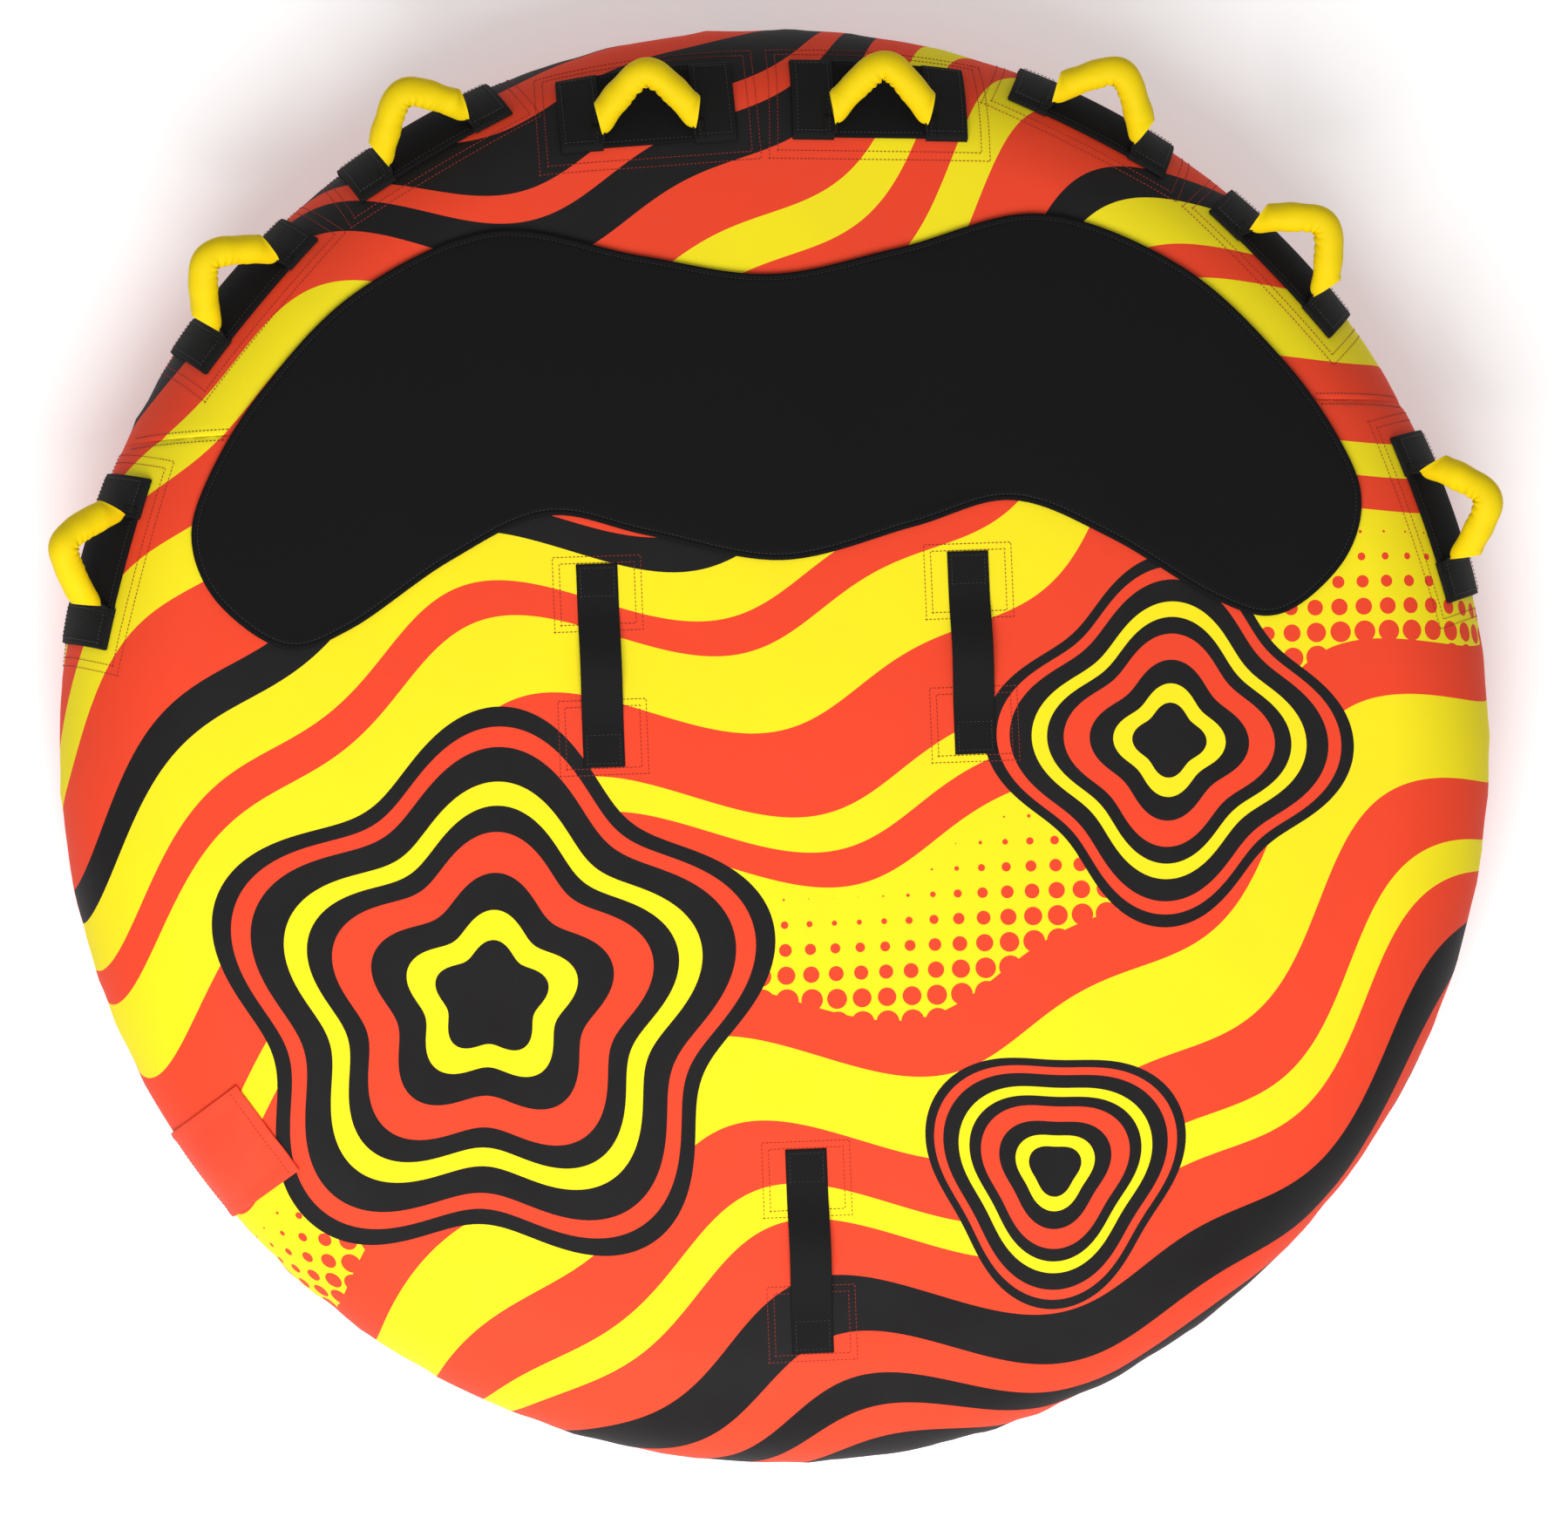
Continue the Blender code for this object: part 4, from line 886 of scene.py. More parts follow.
class TUBE_OT_cover(bpy.types.Operator):
    """Build the two deck panels, the underside and the bladder inside them, and finish the baffles"""

    bl_idname = "towtube.cover"
    bl_label = "Cover"

    def execute(self, context):
        form, surface, finish = basics(context)
        spots = calm_spots(context.scene)
        near_rim = surface.rim_arc - GATHERED_EDGE
        arcs = np.concatenate((np.linspace(0.0, surface.edge_arc, 34)[:-1],
                               np.linspace(surface.edge_arc, near_rim, 24)[:-1],
                               np.linspace(near_rim, surface.rim_arc - LAST_RING, 13),
                               [surface.rim_arc - TURNED_RING]))
        sheet = turned_sheet(list(zip(*surface.top(arcs)[:2])), COVER_SECTORS)
        for side in ("front", "rear"):
            self.deck_panel(side, sheet, form, surface, spots, finish["deck"])
        self.base_panel(form, surface, spots, finish["base"])
        self.bladder(surface, finish["bladder"])
        return {"FINISHED"}

    def deck_panel(self, side, sheet, form, surface, spots, material):
        """One deck panel, cut at the deck seam, with its puckers."""
        points, faces = sheet
        front = side == "front"
        shape = bmesh.new()
        corners = [shape.verts.new(point) for point in points]
        for face in faces:
            shape.faces.new([corners[index] for index in face])
        for shift in SEAM_CUTS:
            at_seam = shift == 0.0
            cut(shape, 1, form.deck_seam + shift, clear_inner=at_seam and front,
                clear_outer=at_seam and not front)
        shape.verts.index_update()
        plan = np.array([vertex.co for vertex in shape.verts])
        kept = [tuple(vertex.index for vertex in face.verts) for face in shape.faces]
        shape.free()
        heading = np.arctan2(plan[:, 0], plan[:, 1])
        radius = np.hypot(plan[:, 0], plan[:, 1])
        slope = np.arctan2(radius - surface.centre, plan[:, 2] - surface.seam)
        arc = np.where(slope > surface.edge_slope + SHOULDER_START,
                       surface.edge_arc + surface.shoulder * (slope - surface.edge_slope),
                       surface.arc_at_radius(radius))
        arc = np.minimum(arc, surface.rim_arc)
        lift = gathers(form, heading, surface.rim_arc - arc, spots)
        off_seam = np.abs(plan[:, 1] - form.deck_seam)
        pucker = 0.5 + 0.5 * ripples(NOISE_SEED, SEAM_PUCKERS, plan[:, 0])
        groove = SEAM_GROOVE[0] + SEAM_GROOVE[1] * pucker
        lift -= groove * np.exp(-(off_seam / SEAM_GROOVE_REACH) ** 2)
        lift -= SEAM_TURN_IN * (arc > surface.rim_arc - (LAST_RING + TURNED_RING) / 2)
        reach, height, _ = surface.top(arc, lift)
        placed = around(heading, reach, height)
        flat = around(heading, arc, 0.0)[:, :2]
        if not front:
            kept, placed = opened(kept, placed, valve_seat(surface), VALVE_HOLE)
        panel = shell(add_piece(f"deck_panel_{side}", placed, kept, flat, material), form.cloth)
        finished(panel, "tube", [f"cover_deck_{side}"])

    def base_panel(self, form, surface, spots, material):
        """The underside, flat in the middle and turned up at the rim."""
        below = np.concatenate((np.linspace(math.pi / 2, BASE_BEND, 22)[:-1],
                                np.linspace(BASE_BEND, BASE_LAST_RING, 13), [BASE_TURNED_RING]))
        flat_part = np.linspace(0.0, surface.base_centre, 18)[:-1]
        turns = round_turns(COVER_SECTORS)
        profile = [(radius, 0.0) for radius in flat_part] + list(zip(*surface.under(below)))
        points, faces = turned_sheet(profile, COVER_SECTORS, downward=True)
        off_zip = smooth_step(*ZIP_CALM_TURNS, np.abs(turns - math.pi))
        first = 1 + (len(flat_part) - 1) * COVER_SECTORS
        for ring, angle in enumerate(below):
            above = np.full(COVER_SECTORS, surface.seam * angle)
            calm = np.maximum(off_zip, smooth_step(*ZIP_CALM_RAMP, above))
            lift = gathers(form, turns, above, spots, -1) * calm
            if ring == len(below) - 1:
                lift -= SEAM_TURN_IN
            reach, height = surface.under(angle, lift)
            here = first + ring * COVER_SECTORS
            points[here:here + COVER_SECTORS] = around(turns, reach, np.maximum(height, 0.0))
        run = np.concatenate((flat_part[1:], surface.base_centre + surface.seam * (math.pi / 2 - below)))
        flat = np.concatenate((np.zeros((1, 2)), *(around(turns, arc, 0.0)[:, :2] for arc in run)))
        panel = shell(add_piece("underside_panel", points, faces, flat, material), form.cloth)
        finished(panel, "tube", ["cover_base"])

    def bladder(self, surface, material):
        """The bladder, open at its valve, and the finish of the baffles sealed inside it."""
        arcs = np.concatenate((np.linspace(0.0, surface.edge_arc, 18)[:-1],
                               np.linspace(surface.edge_arc, surface.rim_arc, 34)))
        below = np.linspace(0.0, math.pi / 2, 40)[1:]

        def lift(from_seam):
            """The film's lift, lower beside the rim seam."""
            return BLADDER_LIFT - FILM_SLACK - FILM_RIM_SLACK * smooth_step(*FILM_RIM_RAMP, from_seam)

        profile = list(zip(*surface.top(arcs, lift(surface.rim_arc - arcs))[:2]))
        profile += zip(*surface.under(below, lift(surface.seam * below)))
        floor = FILM_SLACK - BLADDER_LIFT
        profile += [(share * surface.base_centre, floor) for share in FILM_FLOOR_SHARES]
        points, faces = turned_sheet(profile, FILM_SECTORS)
        faces.append(tuple(range(len(points) - 1, len(points) - FILM_SECTORS - 1, -1)))
        seat = valve_seat(surface)
        from_valve = np.linalg.norm(points - np.array(seat.translation), axis=1)
        near = smooth_step(*FILM_VALVE_RAMP, from_valve)
        points += near[:, None] * FILM_SLACK * np.array(seat.col[2].xyz)
        faces, points = opened(faces, points, seat, NECK_HOLE)
        bladder = shell(add_piece("bladder_film", points, faces, points[:, :2], material), BLADDER_FILM)
        finished(bladder, "tube", ["bladder"])
        for index in range(1, 5):
            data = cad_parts[f"bladder_baffle_{index}"].data
            data.materials.clear()
            data.materials.append(material)


def valve_seat(surface):
    """Frame of the valve, in the middle of its flap."""
    arc = surface.arc_at_slope(FLAP_HINGE_SLOPE) - FLAP_LENGTH / 2
    return surface.frame(VALVE_HEADING, arc, 0.0)


# The pads


BODY_PAD_KNOTS = (
    (0.0, 0.316), (15.0, 0.268), (28.0, 0.170), (42.0, 0.130), (55.0, 0.118), (65.0, 0.113),
    (70.5, 0.126), (75.0, 0.176), (78.0, 0.262), (74.0, 0.334), (60.5, 0.416), (45.5, 0.481),
    (32.8, 0.580), (0.0, 0.662),
)
BODY_PAD_THICKNESS = 0.006
BODY_PAD_INSETS = (0.0007, 0.0009, 0.0014, 0.0018, 0.0012, 0.0012, 0.0014, 0.0014, 0.0020, 0.006)
BODY_PAD_GRID = np.arange(-0.86, 0.87, 0.02)
BODY_PAD_WAVES = (9.0, 14.0, 23.0)
BODY_PAD_EDGE = {"edge": 0.0045, "row": 0.0072, "groove": 0.0016, "reach": 0.0016, "swell": 0.0009,
                 "calm": (0.010, 0.018)}
PAD_WAVES = (40.0, 67.0)
PAD_EDGE = {"edge": 0.0032, "row": 0.0062, "groove": 0.0008, "reach": 0.0018, "swell": 0.0004,
            "calm": (0.008, 0.02)}


def cushion_top(low, thickness, shape, inward, waves):
    """Lift of a pad's upper side: a rolled edge, a groove along its stitches and a soft swell inside it."""
    groove = shape["groove"] * np.exp(-((inward - shape["row"]) / shape["reach"]) ** 2)
    swell = shape["swell"] * waves * smooth_step(*shape["calm"], inward)
    return low + thickness * rolled_edge(inward, shape["edge"]) - groove + swell


def body_pad_outline(rim, samples=12):
    """Closed smooth outline of the body pad in plan."""
    turns = np.radians([knot[0] for knot in BODY_PAD_KNOTS])
    reach = rim - np.array([knot[1] for knot in BODY_PAD_KNOTS])
    right = np.stack((reach * np.sin(turns), reach * np.cos(turns)), axis=1)
    left = (right * (-1.0, 1.0))[-2:0:-1]
    knots = np.concatenate((right, left))
    before, start, end, after = (np.roll(knots, shift, axis=0) for shift in (1, 0, -1, -2))
    outline = []
    for index in range(len(knots)):
        for step in np.arange(samples) / samples:
            outline.append(0.5 * (2 * start[index] + (end[index] - before[index]) * step
                                  + (2 * before[index] - 5 * start[index] + 4 * end[index] - after[index])
                                  * step ** 2
                                  + (3 * start[index] - before[index] - 3 * end[index] + after[index])
                                  * step ** 3))
    return np.array(outline)


class TUBE_OT_body_pad(bpy.types.Operator):
    """Build the neoprene body pad with its bound edge"""

    bl_idname = "towtube.body_pad"
    bl_label = "Body Pad"

    def execute(self, context):
        form, surface, finish = basics(context)
        shape = bmesh.new()
        depth = shape.verts.layers.float.new("depth")
        outline = body_pad_outline(surface.rim)
        face = shape.faces.new([shape.verts.new((x, y, 0.0)) for x, y in outline])
        total = 0.0
        for step in BODY_PAD_INSETS:
            bmesh.ops.inset_individual(shape, faces=[face], thickness=step, use_even_offset=True)
            total += step
            for corner in face.verts:
                corner[depth] = total
        for axis in (0, 1):
            for line in BODY_PAD_GRID:
                cut(shape, axis, line)
        shape.verts.index_update()
        plan = np.array([vertex.co for vertex in shape.verts])
        inward = np.array([vertex[depth] for vertex in shape.verts])
        count = len(plan)
        faces = []
        for face in shape.faces:
            ring = [vertex.index for vertex in face.verts]
            faces.append(tuple(reversed(ring)))
            faces.append(tuple(count + index for index in ring))
        faces += [(edge.verts[0].index, edge.verts[1].index, count + edge.verts[1].index,
                   count + edge.verts[0].index) for edge in shape.edges if edge.is_boundary]
        shape.free()
        waves = ripples(NOISE_SEED + 1, BODY_PAD_WAVES, plan[:, 0] + 0.6 * plan[:, 1])
        top = cushion_top(form.lay_gap, BODY_PAD_THICKNESS, BODY_PAD_EDGE, inward, waves)
        points = np.concatenate((surface.deck(plan[:, 0], plan[:, 1], form.lay_gap),
                                 surface.deck(plan[:, 0], plan[:, 1], top)))
        flat = np.tile(plan[:, :2], (2, 1))
        pad = face_outward(add_piece("body_pad_cushion", points, faces, flat, finish["neoprene"]))
        finished(pad, "tube", ["body_pad"])
        return {"FINISHED"}


# The handles


BAND_INSET = 0.001
BAND_OVERHANG = 0.003
BAND_FALL = (0.0015, -0.0065)
BAND_SINK = 0.0006
BAND_BULGE = 0.0005
BAND_SHARE = 0.8
WEBBING_EDGE = 0.0012
GRIP_RINGS = 96
GRIP_SIDES = 32
GRIP_OVERLAP = 0.0040
GRIP_END = 0.024
GRIP_TIP = 0.0026
TIP_NARROWING = (0.28, 0.36)
TIP_OVERHANG = 0.26
TIP_HEIGHT = 0.8
PUCKER_DEPTH = 0.0046
PUCKER_STEP = 0.0105
PUCKER_REACH = 0.034
PUCKER_LEVEL = 0.62
SLEEVE_SLACK = 0.0005
TAB_WIDTH = 0.026
TAB_LENGTH = 0.064
TAB_THICKNESS = 0.0020
TAB_PLACES = (0.013, 0.009, 0.0055, 0.003, 0.0012, 0.0, -0.0018, -0.0042, -0.0075)
TAB_RISES = (0.0, 0.0, 0.0002, 0.0010, 0.0028, 0.0055, 0.010, 0.015, 0.020)
TAB_BEND = 0.012


class HandlePlace:
    """Where one handle sits, and the lifts of its layers."""

    def __init__(self, scene, sign, index):
        form = scene.tube_form
        sizes = scene.tube_handles
        self.surface = TubeSurface(form)
        self.heading = sign * math.radians(sizes.headings[index])
        self.turn = sign * math.radians(sizes.turns[index])
        self.arc = self.surface.arc_at_slope(sizes.slopes[index])
        self.lean = math.radians(sizes.leans[index])
        self.pad_low = form.lay_gap
        self.pad_top = form.lay_gap + sizes.pad_thickness
        self.band_top = self.pad_top + PIECE_LIFT + sizes.band_thickness
        self.outer = sizes.pad_length / 2 - BAND_INSET
        self.inner = self.outer - sizes.band_width
        ends = [Vector(self.place(-sizes.grip_setback, side * self.inner, self.band_top))
                for side in (-1, 1)]
        along = (ends[1] - ends[0]).normalized()
        square = self.surface.frame(self.heading, self.arc - sizes.grip_setback, 0.0).col[2].xyz
        down = square.cross(along).normalized()
        normal = along.cross(down)
        origin = (ends[0] + ends[1]) / 2 + normal * sizes.core_radius
        self.frame = axes_at(origin, along, down, normal)

    def place(self, down, across, lift):
        """Points of a grid laid on the cover about the handle's middle, swung by the handle's turn."""
        arc = self.arc + down * math.cos(self.turn) + across * math.sin(self.turn)
        along = across * math.cos(self.turn) - down * math.sin(self.turn)
        return self.surface.patch(self.heading, arc, along, lift)


def handle_places(scene):
    """Every handle's place, in the order of their names."""
    return [HandlePlace(scene, sign, index) for _, sign, index in HANDLES]


def arch(sizes, half_span, places):
    """Rise of a grip's path over its hinge line: two arms from its bend, cut off at the bands."""
    bend = sizes.grip_bend
    arm = (np.sqrt((places / half_span) ** 2 + bend ** 2) - bend) / (math.sqrt(1.0 + bend ** 2) - bend)
    return sizes.grip_rise * (1.0 - sizes.grip_arm_fall * arm)


class TUBE_OT_handles(bpy.types.Operator):
    """Build the eight handles: knuckle pads, bands, sleeved grips and the webbing tabs that hold them"""

    bl_idname = "towtube.handles"
    bl_label = "Handles"

    def execute(self, context):
        finish = finishes(context.scene)
        for seed, spot in enumerate(handle_places(context.scene)):
            label = HANDLES[seed][0]
            self.pad(context.scene, spot, label, seed, finish["neoprene"])
            for letter, side in (("a", -1), ("b", 1)):
                self.band(context.scene, spot, f"{label}{letter}", side, finish["webbing"])
            self.grip(context.scene, spot, label, seed, finish["grip"])
            self.tabs(context.scene, spot, label, finish["webbing"])
        return {"FINISHED"}

    def pad(self, scene, spot, label, seed, material):
        """Knuckle pad with a rolled edge."""
        sizes = scene.tube_handles
        rows = spaced(-sizes.pad_width / 2, sizes.pad_width / 2, 0.006, 0.008)
        columns = spaced(-sizes.pad_length / 2, sizes.pad_length / 2, 0.008, 0.008)
        inward = border_distance(rows, columns)
        waves = ripples(seed, PAD_WAVES, rows[:, None] + 0.5 * columns[None, :])
        high = cushion_top(spot.pad_low, sizes.pad_thickness, PAD_EDGE, inward, waves)
        pad = laid_piece(f"knuckle_pad_{label}", spot.place, rows, columns, spot.pad_low, high, material)
        finished(pad, "tube", [f"handle_pad_{label}"])

    def band(self, scene, spot, label, side, material):
        """Webbing band over one end of the pad, its two ends turned down to the cover."""
        sizes = scene.tube_handles
        reach = sizes.pad_width / 2 + BAND_OVERHANG
        rows = spaced(-reach, reach, 0.0045, 0.009)
        ends = sorted((side * spot.inner, side * spot.outer))
        columns = spaced(ends[0], ends[1], 0.006, 0.0018)
        inward = border_distance(rows, columns)
        over = smooth_step(reach + BAND_FALL[0], reach + BAND_FALL[1], np.abs(rows))[:, None]
        low = spot.pad_low + (spot.pad_top - spot.pad_low - BAND_SINK) * over
        thickness = BAND_SHARE * sizes.band_thickness
        high = low + BAND_BULGE * over + thickness * rolled_edge(inward, WEBBING_EDGE)
        band = laid_piece(f"handle_webbing_{label}", spot.place, rows, columns, low, high, material)
        finished(band, "tube", [f"handle_band_{label}"])

    def grip(self, scene, spot, label, seed, material):
        """Sleeved foam grip with puckers inside its bend, cut off at the bands with drawn-down tips."""
        sizes = scene.tube_handles
        half_span = spot.inner + GRIP_OVERLAP
        places = half_span * np.sin(np.linspace(-math.pi / 2, math.pi / 2, GRIP_RINGS))
        rise = arch(sizes, spot.inner, places)
        run = run_along(np.stack((places, rise), axis=1))
        middle = run - run[-1] / 2
        slant = np.arctan2(np.gradient(rise, places), 1.0)[:, None]
        end = smooth_step(GRIP_END, 0.0, run[-1] / 2 - np.abs(middle))[:, None]
        turns = round_turns(GRIP_SIDES)
        inside = np.clip(-np.cos(turns), 0.0, 1.0)[None, :]
        near_bend = np.exp(-(middle / PUCKER_REACH) ** 2)[:, None]
        random = np.random.default_rng(seed)
        fold = np.abs(np.sin(math.pi * middle / PUCKER_STEP + random.uniform(0, 3)
                             + 0.5 * np.sin(middle * 130 + seed)))[:, None]
        depth = PUCKER_DEPTH * inside ** 0.7 * near_bend * (fold - PUCKER_LEVEL)
        twist = np.sin(3 * turns + seed)[None, :] * np.sin(middle * 70 + seed)[:, None]
        loose = SLEEVE_SLACK * (ripples(seed + 3, (90.0, 141.0, 210.0), middle)[:, None] + twist)
        reach = sizes.grip_diameter / 2 + depth + loose * (1.0 - end)
        outward = reach * np.cos(turns)[None, :]
        narrowing = TIP_NARROWING[0] + TIP_NARROWING[1] * inside ** 2
        width = reach * np.sin(turns)[None, :] * (1.0 - end * narrowing)
        overhang = TIP_OVERHANG * np.sign(places)[:, None] * end
        sideways = places[:, None] + outward * (overhang - np.sin(slant) * (1.0 - end))
        upright = np.cos(slant) * (1.0 - end) + TIP_HEIGHT * end / np.cos(slant)
        upward = rise[:, None] + outward * upright
        drawn = end ** 2 * inside ** 3
        upward = upward * (1.0 - drawn) + GRIP_TIP * drawn
        up = np.array((0.0, math.sin(spot.lean), math.cos(spot.lean)))
        across = np.array((0.0, math.cos(spot.lean), -math.sin(spot.lean)))
        rings = (stacked(sideways, 0.0 * sideways, 0.0 * sideways) + upward[..., None] * up
                 + width[..., None] * across)
        flat = unrolled(turns * sizes.grip_diameter / 2, run)
        grip = swept_piece(f"grip_{label}", seated(rings, spot.frame), flat, material)
        finished(grip, f"handle_{label}", [f"handle_grip_{label}"])

    def tabs(self, scene, spot, label, material):
        """Ends of the grip's webbing core, which come out of its tips and go under the bands."""
        sizes = scene.tube_handles
        pieces = []
        for side in (-1, 1):
            lowest = -sizes.core_radius - sizes.band_thickness / 2
            places = spot.inner + np.array(TAB_PLACES)
            rise = lowest + np.array(TAB_RISES)
            share = np.clip((rise - lowest) / TAB_BEND, 0.0, 1.0)
            lean = spot.lean * smooth_step(0.0, 1.0, share)
            path = stacked(side * places, rise * np.sin(lean), rise * np.cos(lean))
            across = stacked(0 * places, np.cos(lean), -np.sin(lean))
            normals = unit(np.cross(np.gradient(path, axis=0), across)) * -side
            width = TAB_WIDTH - TAB_WIDTH / 2 * smooth_step(0.0, 1.0, share)
            section = strip_section(1.0, 0.0)
            rings = (path[:, None, :] + across[:, None, :] * (section[None, :, :1] * width[:, None, None])
                     + normals[:, None, :] * strip_section(TAB_WIDTH, TAB_THICKNESS)[None, :, 1:])
            flat = unrolled(section[:, 0] * TAB_WIDTH, np.linspace(0.0, TAB_LENGTH / 2, len(places)))
            pieces.append(swept_piece(f"tab_{label}", seated(rings, spot.frame), flat, material))
        tabs = joined(f"grip_tabs_{label}", pieces)
        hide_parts(f"handle_core_{label}")
        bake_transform(tabs)


# Straps, flap and valve


STRAP_PLACES = {
    "deck_strap_left": (-0.224, 0.094),
    "deck_strap_right": (0.224, 0.094),
    "deck_strap_rear": (0.0, -0.617),
}
STRAP_LENGTH = 0.245
STRAP_WIDTH = 0.050
STRAP_THICKNESS = 0.0024
STRAP_SEWN_END = 0.046
STRAP_RISE = 0.014
STRAP_CURL = 0.0010


class TUBE_OT_deck_straps(bpy.types.Operator):
    """Build the three short webbing straps on the deck"""

    bl_idname = "towtube.deck_straps"
    bl_label = "Deck Straps"

    def execute(self, context):
        _, surface, finish = basics(context)
        for name, (across, forward) in STRAP_PLACES.items():
            rows = spaced(-STRAP_LENGTH / 2, STRAP_LENGTH / 2, 0.005, 0.006)
            columns = spaced(-STRAP_WIDTH / 2, STRAP_WIDTH / 2, 0.006, 0.0022)
            inward = border_distance(rows, columns)
            slack = STRAP_LENGTH / 2 - STRAP_SEWN_END
            share = np.clip(1.0 - np.abs(rows) / slack, 0.0, 1.0)
            rise = (STRAP_RISE * np.sin(share * math.pi / 2) ** 2)[:, None]
            curl = STRAP_CURL * (columns / (STRAP_WIDTH / 2))[None, :] ** 2 * share[:, None]
            low = PIECE_LIFT + rise - curl
            high = low + STRAP_THICKNESS * rolled_edge(inward, WEBBING_EDGE)

            def place(down, side, lift, across=across, forward=forward):
                return surface.deck(across + side, forward + down, lift)

            strap = laid_piece(f"{name}_webbing", place, rows, columns, low, high, finish["webbing"])
            finished(strap, "tube", [name])
        return {"FINISHED"}


FLAP_CREASE = 0.0006
FLAP_CREASES = (55.0, 83.0, 120.0)
FLAP_WAVE = 0.0016
FLAP_WAVE_REACH = 0.030
FLAP_HEM_END = (0.0165, 0.0145)
FLAP_HEM_SIDE = (0.012, 0.010)
FLAP_DRAW = 0.0010
FLAP_DRAW_PLACE = 0.0175
FLAP_DRAW_REACH = 0.0028
FLAP_PINCHES = (210.0, 330.0)


def flap_lift(form, rows, columns):
    """Lift of the flap's lower side, and the extra thickness of its turned-in hem."""
    lengthwise = (rows / (FLAP_LENGTH / 2))[:, None]
    sideways = (columns / (FLAP_WIDTH / 2))[None, :]
    puff = FLAP_PUFF * (1.0 - lengthwise ** 2) ** 2 * (1.0 - sideways ** 2) ** 2
    crease = FLAP_CREASE * ripples(NOISE_SEED + 5, FLAP_CREASES, rows[:, None] + 0.8 * columns[None, :])
    crease = crease * (1.0 - lengthwise ** 2) + FLAP_CREASE
    from_free = (rows + FLAP_LENGTH / 2)[:, None]
    wave = FLAP_WAVE * smooth_step(FLAP_WAVE_REACH, 0.0, from_free)
    wave = wave * (0.6 + 0.6 * np.cos(7.0 * sideways + 0.6))
    from_side = (FLAP_WIDTH / 2 - np.abs(columns))[None, :]
    doubled = smooth_step(*FLAP_HEM_END, from_free) + smooth_step(*FLAP_HEM_SIDE, from_side)
    hem = FLAP_HEM * doubled.clip(0, 1)
    drawn = np.exp(-((from_free - FLAP_DRAW_PLACE) / FLAP_DRAW_REACH) ** 2)
    drawn = drawn * smooth_step(0.010, 0.020, from_side)
    pinch = 1.0 + 0.5 * ripples(NOISE_SEED + 6, FLAP_PINCHES, columns[None, :])
    low = form.lay_gap + puff + crease + wave
    return low - FLAP_DRAW * drawn * pinch * smooth_step(0.0, 0.0012, puff), hem


CAP_LOW = BLADDER_LIFT + PIECE_LIFT
CAP_TOP = CAP_LOW + 0.0032
CAP_BAR_HEIGHT = 0.0012
CAP_FLUTES = {"count": 12, "depth": 0.0008, "beyond": 0.0200}
VALVE_SIDES = 96
VALVE_PROFILE = (
    (0.0130, BLADDER_LIFT - 0.0010), (0.0138, BLADDER_LIFT), (0.0192, BLADDER_LIFT),
    (0.0200, BLADDER_LIFT - 0.0008), (0.0200, -0.0107), (0.0325, -0.0107), (0.0330, -0.0112),
    (0.0330, -0.0129), (0.0130, -0.0129),
)
CAP_PROFILE = (
    (0.0004, CAP_LOW - 0.0060), (0.0118, CAP_LOW - 0.0060), (0.0124, CAP_LOW - 0.0054),
    (0.0124, CAP_LOW), (0.0206, CAP_LOW), (0.0213, CAP_LOW + 0.0006), (0.0213, CAP_TOP - 0.0010),
    (0.0203, CAP_TOP - 0.0002), (0.0165, CAP_TOP), (0.0158, CAP_TOP - 0.0007),
    (0.0004, CAP_TOP - 0.0007),
)


class TUBE_OT_valve(bpy.types.Operator):
    """Build the valve flap, and finish the valve and its cap"""

    bl_idname = "towtube.valve"
    bl_label = "Valve"

    def execute(self, context):
        form, surface, finish = basics(context)
        hinge = surface.arc_at_slope(FLAP_HINGE_SLOPE)
        rows = spaced(-FLAP_LENGTH / 2, FLAP_LENGTH / 2, 0.004, 0.0015)
        columns = spaced(-FLAP_WIDTH / 2, FLAP_WIDTH / 2, 0.004, 0.0025)
        low, hem = flap_lift(form, rows, columns)
        inward = border_distance(rows, columns)
        high = low + FLAP_CLOTH * rolled_edge(inward, 0.0012) + hem * rolled_edge(inward, 0.002)

        def place(down, side, lift):
            return surface.patch(VALVE_HEADING, hinge - FLAP_LENGTH / 2 + down, side, lift)

        flap = laid_piece("valve_flap_cloth", place, rows, columns, low, high, finish["flap"])
        finished(flap, "valve_flap", ["valve_flap"])
        self.fitting(surface, finish["valve"])
        return {"FINISHED"}

    def fitting(self, surface, material):
        """Valve body welded in the bladder, and its screw cap with a fluted edge and a finger bar."""
        seat = valve_seat(surface)
        ring = turned_piece("valve_moulding", seat, VALVE_PROFILE, VALVE_SIDES, material, closed=True)
        finished(ring, "tube", ["valve_body"])
        lid = turned_piece("valve_cap_lid", seat, CAP_PROFILE, VALVE_SIDES, material, flutes=CAP_FLUTES)
        rows = spaced(-0.0150, 0.0150, 0.003, 0.0015)
        columns = spaced(-0.0026, 0.0026, 0.0010, 0.0012)
        low = CAP_TOP - CAP_BAR_HEIGHT
        high = low + CAP_BAR_HEIGHT * rolled_edge(border_distance(rows, columns), 0.0009)

        def place(down, side, lift):
            return seated(stacked(side, down, lift), seat)

        bar = laid_piece("cap_bar", place, rows, columns, low, high, material)
        finished(joined("valve_cap_moulding", [lid, bar]), "valve_cap", ["valve_cap"])


# Zip and tow strap


